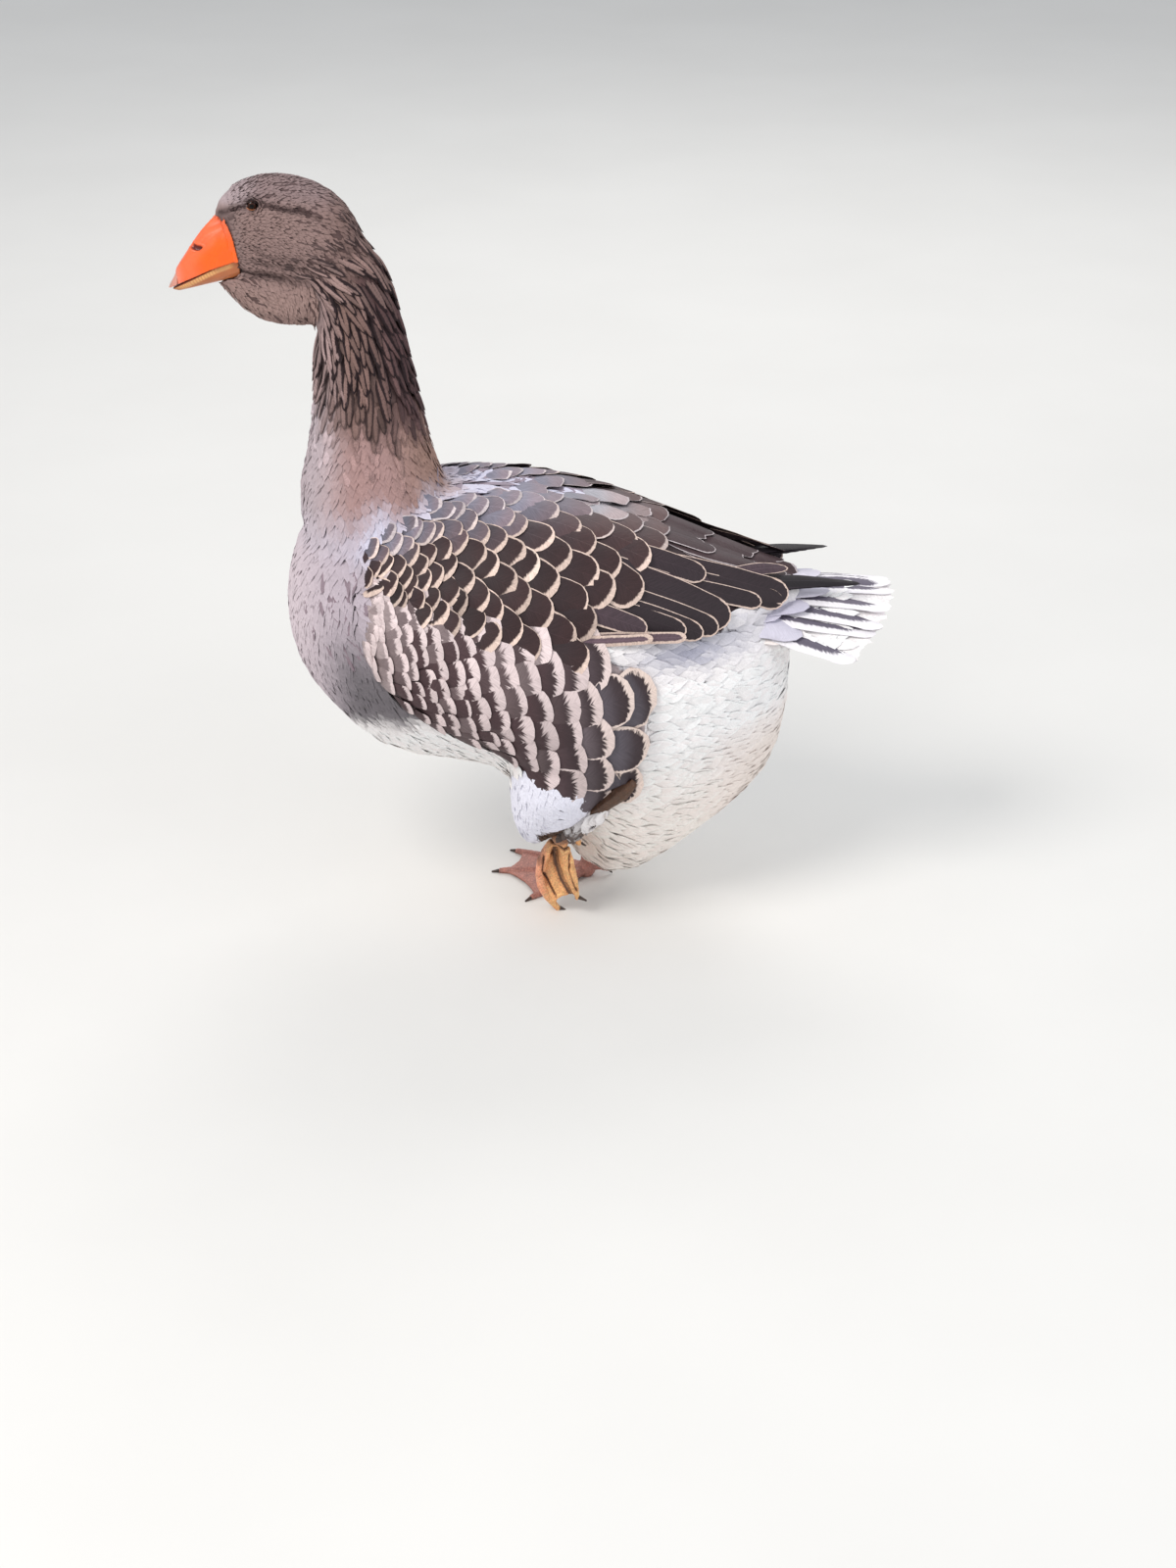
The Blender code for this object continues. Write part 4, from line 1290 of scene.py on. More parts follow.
@dataclass
class SoftCoat:
    """The soft contour feathers of head, neck, breast, back, belly and thighs."""

    form: Form
    markings: Markings
    finishes: Finishes
    eye: tuple[float, float] = (-0.253, 0.6785)
    eye_opening: tuple[float, float] = (0.0066, 0.0042)
    fine: Cut = Cut(3, 2, roundness=1.5, waist=0.6, belly=0.4, taper=0.4, camber=0.25,
                    thickness=0.0003)
    tuft: Cut = Cut(4, 2, roundness=1.3, waist=0.6, belly=0.4, taper=0.35, camber=0.1,
                    thickness=0.0003)

    def flow(self, roots: Array, labels: Array) -> Array:
        """The way the coat lies at each root.

        Args:
            roots: Feather roots.
            labels: The node each is on.

        Returns:
            Unit ways.
        """
        _, _, way = self.form.spine.read(roots)
        thigh = np.char.startswith(labels, "thigh")
        way = np.where(thigh[:, None], unit(np.array((0.25, 0.0, -1.0))), way)
        low = ease(roots[:, 2], 0.16, 0.1) * ease(roots[:, 0], -0.05, 0.02)
        way = blend(way, (0.9, 0.0, -0.15), 0.6 * low)
        dewlap = (labels == "dewlap")[:, None]
        return unit(np.where(dewlap, unit(way + np.array((0.15, 0, -0.8))), way))

    def bare(self, points: Array) -> Array:
        """Leaves room for the eyelids and the bill.

        Args:
            points: Feather roots.

        Returns:
            True where no feather grows.
        """
        x, y, z = points.T
        dx = (x - self.eye[0]) / self.eye_opening[0]
        dz = (z - self.eye[1]) / self.eye_opening[1]
        eye = (dx ** 2 + dz ** 2 < 1) & (np.abs(y) > 0.012)
        border = np.interp(z, *np.array(Folds.BILL_BORDER)[:, ::-1].T)
        wedge = (z < 0.668) & (x < 0.85 * np.abs(y) - 0.2895)
        return eye | wedge | (x < border)

    def lay(self, name: str, keep: Array, spacing: Array, scale: tuple[float, float],
            cut: Cut, slot: str, lift: float, sink: float, speckle: float = 0.03) -> None:
        """One tract of soft feathers.

        Args:
            name: The piece's name.
            keep: Which of the form's points bear it.
            spacing: Distance between roots at every point of the form.
            scale: Length and half width beside the spacing.
            cut: The feathers' cut.
            slot: A material slot name, passed on to build.
            lift: Rise of the tips.
            sink: Depth of the roots.
            speckle: How much the feathers differ in lightness.
        """
        seed = sum(name.encode())
        roots, gap = self.form.roots(keep, spacing, seed)
        chance = np.random.default_rng(seed + 1)
        labels = self.form.label(roots)
        clear = ~self.bare(roots)
        roots, gap, labels = roots[clear], gap[clear], labels[clear]
        count = len(roots)
        coat = self.markings.colour(roots, labels)
        coat = coat * chance.normal(1, speckle, (count, 1))
        share, ink = self.markings.dashes(roots, labels)
        dark = chance.random(count) < share
        coat = blend(coat, ink, 0.75 * dark)
        way = unit(self.flow(roots, labels) + chance.normal(0, 0.07, (count, 3)))
        hem = np.char.startswith(labels, "thigh") * ease(roots[:, 2], 0.13, 0.105)
        hem = 1 - 0.6 * hem * ease(roots[:, 0], -0.018, -0.008)
        plume = Plume(
            root=roots, ahead=way,
            length=gap * scale[0] * chance.normal(1, 0.12, count) * (1 + dark) * hem,
            half=gap * scale[1] * chance.normal(1, 0.08, count) * (1 - 0.15 * dark),
            coat=np.clip(coat, 0.004, 0.9), rim=np.clip(coat * 1.06, 0.004, 0.92),
            place=self.form.spine.unwrap(roots), sink=sink,
            lift=lift * chance.normal(1, 0.4, count),
            roll=chance.normal(0, 0.08, count), bend=chance.normal(0, 0.05, count),
            tip_rim=gap * 0.5, side_rim=gap * 0.2,
        )
        plume.build(name, cut, self.form.outer, self.finishes.soft, slot)

    def make(self) -> None:
        """Every soft tract in turn."""
        points = self.form.outer.points
        labels = self.form.label(points)
        x, y, z = points.T
        head = (labels == "head") | ((labels == "neck") & (z > 0.615))
        dewlap = labels == "dewlap"
        neck = (labels == "neck") & (z < 0.505)
        front = np.isin(labels, ("flank_left", "flank_right", "wing_left", "wing_right"))
        front = front & ((x < -0.154) | (x > 0.166) & (z < 0.316))
        trunk = (labels == "trunk") | (labels == "tail") & (x < 0.265) | front
        small = np.where(dewlap, 0.0027, 0.0022 + 0.0009 * ease(x, -0.225, -0.18))
        self.lay("feathers_head", head | dewlap, small, (3.2, 0.62), self.fine,
                 "plumage_grey", 0.0003, 0.001, 0.05)
        self.lay("feathers_neck_low", neck, 0.0046 + 0.0006 * ease(z, 0.44, 0.38),
                 (3.6, 0.95), self.tuft, "plumage_grey", 0.0003, 0.001)
        breast, rear = trunk & (x < -0.02), trunk & (x >= -0.02)
        sized = 0.0049 + 0.0011 * ease(z, 0.26, 0.18)
        loose = np.full(len(points), 0.0064)
        for word, side in (("left", y < 0.0), ("right", y >= 0.0)):
            self.lay(f"feathers_breast_{word}", breast & side, sized, (3.9, 0.98), self.tuft,
                     "plumage_pale", 0.0003, 0.001, 0.02)
            self.lay(f"feathers_belly_{word}", rear & side, loose, (4.0, 0.9), self.tuft,
                     "plumage_white", 0.0003, 0.0014, 0.012)
        self.lay("feathers_thighs", np.char.startswith(labels, "thigh"), loose * 0.75,
                 (3.8, 0.95), self.tuft, "plumage_white", 0.0002, 0.0012, 0.01)


@dataclass
class FurrowedNeck:
    """The deep furrows of the neck: ridges that run down it, each of many folded locks."""

    form: Form
    markings: Markings
    finishes: Finishes
    bottom: float = 0.285  # length along the spine where the ridges end
    step: float = 0.0165
    ridges: int = 38
    length: float = 0.043
    half: float = 0.0043
    top: Table = (  # turn round the neck, start along the spine
        (0.0, 0.092), (1.57, 0.078), (2.1, 0.056), (2.5, 0.105), (3.2, 0.135))
    seed: int = 41
    cut: Cut = Cut(9, 4, roundness=2.2, waist=0.45, belly=0.35, taper=0.35, camber=0.62,
                   thickness=0.0006, keel=0.7)

    def make(self) -> None:
        """Lays every lock."""
        chance = np.random.default_rng(self.seed)
        spine = self.form.spine
        starts, outs, grown = [], [], []
        for ridge in range(self.ridges):
            base = 2 * math.pi * (ridge + 0.2 * chance.normal()) / self.ridges - math.pi
            first = float(np.interp(abs(base), *np.array(self.top).T))
            last = self.bottom + 0.012 * math.cos(base) + 0.008 * chance.normal()
            last -= 0.02 * float(ease(abs(base), 2.4, 3.0))
            along = first + self.step * chance.random()
            phase = 6 * chance.random()
            while along < last:
                turn = base + 0.09 * math.sin(along * 75 + phase)
                index = int(np.searchsorted(spine.reach, along))
                way = spine.ways[index] * math.cos(turn)
                starts.append(spine.curve[index])
                outs.append((-way[2], math.sin(turn), way[0]))
                grown.append(((along - first) / 0.03, (last - along) / 0.1))
                along += self.step * (1 + 0.15 * chance.normal())
        origin, out, grown = np.array(starts), np.array(outs), np.array(grown)
        spots, _ = self.form.outer.cast(origin + out * 0.15, -out)
        fit = np.isin(self.form.label(spots), ("neck", "head")) & (spots[:, 0] > -0.246)
        spots, grown = spots[fit], grown[fit]
        count = len(spots)
        young, old = ease(grown[:, 0], 0, 1), ease(grown[:, 1], 0, 1)
        _, turn, way = spine.read(spots)
        coat = self.markings.neck(spots, turn)
        coat = blend(coat, self.markings.head(spots), ease(spots[:, 2], 0.6, 0.63))
        bright = chance.normal(1.04, 0.16, (count, 1)) + 0.14 * ease(spots[:, :1], -0.15, -0.19)
        coat = np.clip(coat * bright, 0.01, 0.8)
        size = (0.45 + 0.55 * young) * (0.6 + 0.4 * old)
        plume = Plume(
            root=spots, ahead=unit(way + chance.normal(0, 0.05, (count, 3))),
            length=self.length * size * chance.normal(1, 0.1, count),
            half=self.half * (0.55 + 0.45 * young), coat=coat,
            # the locks' fringes, which lie down in the furrows, are painted shade that fades out
            # towards the ridges' lower ends
            rim=blend(Dye.FURROW, coat * 0.95, 1 - old ** 1.5 * (0.75 + 0.25 * young)),
            place=spine.unwrap(spots), sink=0.0026,
            lift=(0.0012 + 0.0006 * chance.random(count)) * size, crown=(0.4 + 0.6 * young) * old,
            roll=chance.normal(0, 0.1, count), bend=chance.normal(0, 0.08, count),
            tip_rim=0.0011, side_rim=0.0025,
        )
        order = np.argsort(spots[:, 1])
        for word, part in (("left", order[:count // 2]), ("right", order[count // 2:])):
            take(plume, part).build(f"locks_neck_{word}", self.cut, self.form.outer,
                                    self.finishes.furrow, "plumage_grey")


def take(plume: Plume, part: Array) -> Plume:
    """Some of a batch's feathers.

    Args:
        plume: The batch.
        part: Indices of the feathers to take.

    Returns:
        A smaller batch.
    """
    count = len(plume.root)
    return replace(plume, **{title: value[part] for title, value in vars(plume).items()
                             if isinstance(value, Array) and len(value) == count})


@dataclass
class Pad:
    """The outline of a wing or flank on the body, read from its frame node."""

    form: Form
    node: str
    side: Side
    closed_from: float = 1.0  # X behind which the pad reaches up to the middle of the back
    axis: Table = (
        (-0.2, 0.3), (-0.05, 0.281), (0.06, 0.262), (0.15, 0.252), (0.24, 0.274))
    bins: int = 44
    stations: Array = field(init=False)
    low: Array = field(init=False)
    high: Array = field(init=False)

    def __post_init__(self) -> None:
        """Finds the lowest and highest turn of the node at stations along X."""
        points, _ = node_arrays(self.node)
        x = points[:, 0]
        turn = np.arctan2(points[:, 2] - self.mid(x), np.abs(points[:, 1]))
        self.stations = np.linspace(x.min(), x.max(), self.bins)
        near = [np.abs(x - place) < 0.012 for place in self.stations]
        self.low = np.array([turn[n].min() for n in near])
        high = np.array([turn[n].max() for n in near])
        top = math.pi / 2 - 0.02
        self.high = high + (np.maximum(high, top) - high) * ease(
            self.stations, self.closed_from - 0.03, self.closed_from + 0.02)

    def mid(self, x: Array) -> Array:
        """Height of the body's axis."""
        knots = np.array(self.axis)
        return np.interp(x, knots[:, 0], knots[:, 1])

    def span(self, x: float) -> float:
        """Rough length of the pad from its lower to its upper edge."""
        turn = np.interp(x, self.stations, self.high) - np.interp(x, self.stations, self.low)
        return 0.135 * float(turn)

    def on_body(self, x: Array, share: Array) -> Pair:
        """Spots on the pad.

        Args:
            x: Places along the body.
            share: 0 at the pad's lower edge to 1 at its upper edge.

        Returns:
            Spots on the form, and the normals there.
        """
        low = np.interp(x, self.stations, self.low)
        high = np.interp(x, self.stations, self.high)
        turn = low + (high - low) * share
        out = np.stack((np.zeros_like(turn), self.side.value * np.cos(turn), np.sin(turn)), 1)
        start = np.stack((x, np.zeros_like(x), self.mid(x)), 1) + out * 0.3
        return self.form.outer.cast(start, -out)

    def sideways(self, x: Array, z: Array) -> Pair:
        """Spots met when looking in from the side.

        Args:
            x: Places along the body.
            z: Heights.

        Returns:
            Spots on the form, and the normals there.
        """
        start = np.stack((x, np.full_like(x, 0.4 * self.side.value), z), 1)
        way = np.tile((0.0, -float(self.side.value), 0.0), (len(x), 1))
        return self.form.outer.cast(start, way)

    def ways(self, normals: Array, slope: Array) -> Array:
        """Ways along the pad towards the rear, turned down by a slope in radians.

        Args:
            normals: The form's normals at the roots.
            slope: How far each way turns down the side.

        Returns:
            Unit ways.
        """
        back = unit((1.0, 0.0, 0.0) - normals[:, :1] * normals)
        down = self.side.value * np.cross(normals, back)
        return unit(back * np.cos(slope)[:, None] + down * np.sin(slope)[:, None])


@dataclass(frozen=True)
class Rows:
    """How the rows of a pad's feathers change towards the rear."""

    x: tuple[float, ...]
    step: tuple[float, ...]  # distance to the next row
    across: tuple[float, ...]  # distance between neighbours in a row
    lean: float  # shift of a row's top end beside its length
    arc: tuple[float, ...]  # bulge of a row's middle towards the rear

    def lay(self, pad: Pad, chance: Chance) -> tuple[Array, Array, Array, Array]:
        """Places of all the feathers.

        Args:
            pad: The pad they lie on.
            chance: Random source.

        Returns:
            X, share of the pad's height, and each feather's step and distance across.
        """
        made = []
        place, row = self.x[0], 0
        while place < self.x[-1]:
            step, across, arc = (float(np.interp(place, self.x, values))
                                 for values in (self.step, self.across, self.arc))
            span = pad.span(min(max(place, pad.stations[0]), pad.stations[-1]))
            number = max(2, round(span / across))
            for k in range(number + 1):
                at = (k + 0.5 * (row % 2)) / number
                if at > 1.01:
                    continue
                shifted = place + self.lean * span * (at - 0.45) + arc * math.sin(math.pi * at)
                made.append((shifted + 0.09 * step * chance.normal(),
                             min(1.0, max(0.0, at + 0.05 / number * chance.normal())),
                             step, across))
            place += step
            row += 1
        return tuple(np.array(made).T)


@dataclass
class Wing:
    """One folded wing: scalloped coverts and scapulars, tertials and primaries."""

    form: Form
    side: Side
    finishes: Finishes
    cut: Cut = Cut(9, 8, roundness=0.8, waist=0.62, belly=0.42, taper=0.06, camber=0.1,
                   thickness=0.0008)
    long_cut: Cut = Cut(14, 8, roundness=1.15, waist=0.55, belly=0.35, taper=0.12, camber=0.12,
                        thickness=0.0009)
    blade: Cut = Cut(14, 6, roundness=3.2, waist=0.9, belly=0.3, taper=0.45, camber=0.14,
                     thickness=0.0008)
    rows: Rows = Rows(x=(-0.172, -0.13, -0.09, -0.03, 0.05, 0.11),
                      step=(0.0066, 0.0088, 0.0125, 0.0195, 0.0245, 0.026),
                      across=(0.015, 0.0185, 0.022, 0.0265, 0.029, 0.03),
                      lean=0.3, arc=(0, 0, 0, 0, 0, 0))
    # long feathers from the lowest up: x, z of the root, x, y, z of the tip, half width,
    # lightness, fringe, pointedness
    long_feathers: Table = (
        (-0.01, 0.312, 0.1, 0.128, 0.3125, 0.0055, 5.0, 0.003, 1.3),
        (0.01, 0.316, 0.13, 0.118, 0.3095, 0.006, 4.0, 0.0024, 1.3),
        (0.0, 0.356, 0.0944, 0.122, 0.3175, 0.0105, 2.2, 0.0013, 1.0),
        (0.02, 0.354, 0.13, 0.108, 0.31, 0.011, 0.9, 0.0013, 1.2),
        (0.03, 0.356, 0.1452, 0.103, 0.3055, 0.0115, 0.9, 0.0013, 1.2),
        (0.045, 0.36, 0.159, 0.094, 0.3065, 0.012, 0.9, 0.0013, 1.0),
        (0.09, 0.358, 0.1996, 0.06, 0.319, 0.0095, 0.9, 0.0012, 1.2),
        (0.1, 0.36, 0.2193, 0.05, 0.3155, 0.011, 0.9, 0.0012, 1.2),
        (0.08, 0.372, 0.2245, 0.045, 0.32, 0.015, 1.0, 0.0013, 1.0),
        (0.04, 0.378, 0.169, 0.086, 0.312, 0.018, 1.0, 0.0014, 0.9),
        (0.045, 0.388, 0.1479, 0.066, 0.3465, 0.013, 1.2, 0.0013, 1.0),
        (0.09, 0.384, 0.2255, 0.02, 0.335, 0.0075, 2.6, 0.0008, 3.0),
    )
    # feathers of the back: x and share of the wing's height at root and tip, half width
    back_feathers: Table = (
        (0.13, 0.74, 0.225, 0.7, 0.009), (0.14, 0.86, 0.236, 0.8, 0.01),
        (0.145, 0.96, 0.232, 0.93, 0.01), (0.1, 0.8, 0.2, 0.77, 0.011),
        (0.095, 0.91, 0.195, 0.88, 0.012), (0.09, 0.985, 0.185, 0.97, 0.011),
        (0.06, 0.85, 0.158, 0.83, 0.0125), (0.055, 0.95, 0.15, 0.94, 0.0125),
    )
    primary_count: int = 5
    seed: int = 51

    def scallops(self, pad: Pad) -> Plume:
        """Rows of coverts and scapulars that grow towards the rear.

        Args:
            pad: The wing's outline.

        Returns:
            The feathers.
        """
        chance = np.random.default_rng(self.seed)
        x, share, gap, wide = self.rows.lay(pad, chance)
        length = gap * 2.35 + 0.004
        fit = (x > -0.166) & (x + length < 0.066 + 0.078 * share)
        x, share, gap, wide, length = (a[fit] for a in (x, share, gap, wide, length))
        spots, normals = pad.on_body(x, share)
        count = len(x)
        slope = np.radians(np.interp(x, (-0.16, -0.08, 0.03), (30, 27, 20)))
        slope = slope * (1 - 0.75 * ease(share, 0.5, 1.0)) + chance.normal(0, 0.06, count)
        blue = ease(x - 0.1 * share, -0.06, -0.12)
        coat = painted(
            Dye.COVERT, (Dye.SCAPULAR, ease(share, 0.4, 0.75)),
            (Dye.DORSAL, ease(share, 0.7, 0.9) * ease(x, -0.07, 0.0)),
            (Dye.BACK_RIDGE, ease(share, 0.84, 0.93) * ease(x, 0.06, 0.02)),
            (Dye.SHOULDER, ease(share, 0.5, 0.85) * blue))
        coat = coat * chance.normal(0.84, 0.12, (count, 1))
        rim = blend(Dye.COVERT_FRINGE, Dye.DORSAL_FRINGE, ease(share, 0.6, 0.9))
        rim = rim * chance.normal(1, 0.13, (count, 1))
        size = 0.0011 + gap * 0.145 + 0.0009 * ease(x, 0.02, -0.08)
        size = size * chance.normal(1, 0.2, count)
        size = size * (1 - 0.65 * ease(share, 0.6, 0.88) * ease(x, -0.1, -0.03))
        spread = np.ptp(x)
        return Plume(
            root=spots, ahead=pad.ways(normals, slope), half=wide * 0.72,
            length=length * chance.normal(1, 0.06, count),
            coat=np.clip(coat, 0.003, 0.8), rim=np.clip(rim, 0.01, 0.85),
            tip_coat=np.clip(coat * np.array((1.2, 0.98, 0.9)), 0.003, 0.8),
            place=np.stack(((x - x.min()) / spread * 0.92 + 0.04, 0.06 + 0.88 * share), 1),
            patch=np.minimum(gap / spread, wide / 0.18) * 0.75,
            sink=0.0022 + 0.0008 * ease(x, 0.0, 0.08),
            lift=0.001 + 0.0016 * ease(x, -0.02, 0.06) + chance.normal(0, 0.0003, count),
            roll=-0.08 * self.side.value + chance.normal(0, 0.05, count),
            bend=chance.normal(0, 0.025, count), tip_rim=size, side_rim=size * 0.55,
            skew=0.55 * self.side.value, blunt=1 - 0.35 * ease(x, -0.06, -0.14),
        )

    def lines(self, read: Callable[[Array, Array], Pair], table: Array) -> Pair:
        """Lines over the wing between the first and the next two numbers of each row.

        Args:
            read: Gives the spots at places on the wing.
            table: Places of roots and tips.

        Returns:
            Points and normals for every feather and row of the grid.
        """
        share = np.linspace(0, 1, self.long_cut.rows + 1)
        whole = table[:, None, :2] + (table[:, 2:4] - table[:, :2])[:, None] * share[:, None]
        return tuple(smooth_lines(part.reshape(*whole.shape[:2], 3))
                     for part in read(whole[..., 0].ravel(), whole[..., 1].ravel()))

    def long_plume(self, spots: Array, normals: Array, half: Array, coat: Array, rim: Dye,
                   wide: Array | float, lowest: float = 0.0) -> Plume:
        """Long feathers along ready lines, each over the one before.

        Args:
            spots: Points of the lines.
            normals: Normals along the lines.
            half: Half widths.
            coat: Colours of the middles.
            rim: Colour of the fringes.
            wide: Widths of the fringes.
            lowest: How high the first lies, where the last lies at 1.

        Returns:
            The feathers.
        """
        count = len(spots)
        length = np.linalg.norm(np.diff(spots, axis=1), axis=2).sum(1)
        rank = np.arange(count) / count
        layer = lowest + (1 - lowest) * rank
        return Plume(
            root=spots[:, 0], ahead=spots[:, 1] - spots[:, 0], length=length, half=half,
            coat=np.clip(coat, 0.003, 0.8), tip_coat=np.clip(coat * 0.85, 0.003, 0.8),
            rim=rim * np.ones((count, 1)), sink=0.0022 - 0.001 * layer, patch=0.07,
            place=np.stack((0.05 + 0.9 * rank, np.full(count, 0.5)), 1),
            lift=0.0004 + 0.003 * layer, roll=-0.08 * self.side.value,
            tip_rim=wide, side_rim=wide, skew=0.35 * self.side.value,
            centres=spots, normals=unit(normals),
        )

    def tertials(self, pad: Pad) -> Plume:
        """Tertials and secondaries behind the scallops, with their tips free of the body.

        Args:
            pad: The wing's outline.

        Returns:
            The feathers.
        """
        table = np.array(self.long_feathers)
        tip = table[:, 2:5] * (1, self.side.value, 1)
        spots, normals = self.lines(pad.sideways, table[:, [0, 1, 2, 4]])
        share = np.linspace(0, 1, spots.shape[1])
        straight = spots[:, :1] + (tip[:, None] - spots[:, :1]) * share[:, None]
        free = np.broadcast_to(ease(share, 0.25, 0.85), spots.shape[:2])
        spots = smooth_lines(blend(spots, straight, free))
        _, normals = self.form.outer.nearest(spots.reshape(-1, 3))
        normals = unit(normals.reshape(spots.shape) + (0.05, 0.45 * self.side.value, 0.3))
        made = self.long_plume(spots, normals, table[:, 5], Dye.TERTIAL * table[:, 6:7],
                               Dye.COVERT_FRINGE, table[:, 7])
        made.blunt = table[:, 8]
        return made

    def back(self, pad: Pad) -> Plume:
        """The long smooth feathers of the back.

        Args:
            pad: The wing's outline.

        Returns:
            The feathers.
        """
        table = np.array(self.back_feathers)
        spots, normals = self.lines(pad.on_body, table)
        return self.long_plume(spots, normals, table[:, 4], np.tile(Dye.SCAPULAR, (len(table), 1)),
                               Dye.DORSAL_FRINGE, 0.0009, 0.2)

    def primaries(self) -> Plume:
        """The blackish tips of the flight feathers, stacked under the tertials.

        Returns:
            The feathers.
        """
        _, high = (np.array(corner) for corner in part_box(f"primaries_{self.side.word}"))
        number, sign = self.primary_count, self.side.value
        share = np.linspace(0, 1, self.blade.rows + 1)
        inward = 0.026 if self.side is Side.RIGHT else 0.03
        rank = np.arange(number) / (number - 1)
        root = np.stack((np.full(number, 0.15), sign * (0.05 - 0.012 * rank),
                         0.32 + 0.004 * rank), 1)
        tip = np.stack((high[0] - 0.034 * (1 - rank) - 0.002, sign * (inward + 0.006 * rank),
                        high[2] - 0.009 + 0.004 * rank), 1)
        spots = root[:, None] + (tip - root)[:, None] * share[:, None]
        spots[:, :, 2] += 0.005 * np.sin(math.pi * share)
        tilt = -0.7 if self.side is Side.LEFT else 0.1
        normals = np.broadcast_to(unit(np.array((0.05, tilt, 1.0))), spots.shape)
        coat = np.tile(Dye.PRIMARY, (number, 1))
        return Plume(
            root=root, ahead=tip - root, length=np.linalg.norm(tip - root, axis=1),
            half=np.full(number, 0.008 if sign < 0 else 0.01), coat=coat, rim=coat * 3.2,
            place=np.stack((0.1 + 0.8 * rank, np.full(number, 0.5)), 1), patch=0.14,
            sink=0.0, lift=0.0, roll=np.full(number, 0.12 * sign), tip_rim=0.0006,
            side_rim=0.0006, centres=spots, normals=normals,
        )

    def make(self) -> None:
        """Lays the wing's feathers."""
        word, outer, wing = self.side.word, self.form.outer, self.finishes.wing
        pad = Pad(self.form, f"wing_{word}", self.side, closed_from=-0.04)
        dark = "plumage_dark"
        self.scallops(pad).build(f"coverts_{word}", self.cut, outer, wing, dark)
        self.tertials(pad).build(f"tertials_{word}", self.long_cut, None, wing, dark)
        self.back(pad).build(f"back_feathers_{word}", self.long_cut, outer, wing, dark)
        self.primaries().build(f"flight_feathers_{word}", self.blade, None, wing, dark,
                               f"primaries_{word}")


def smooth_lines(lines: Array) -> Array:
    """Lines of points evened out along themselves, with their ends kept.

    Args:
        lines: The lines, which are changed.

    Returns:
        The lines.
    """
    for _ in range(3):
        lines[:, 1:-1] = (lines[:, :-2] + 2 * lines[:, 1:-1] + lines[:, 2:]) / 4
    return lines


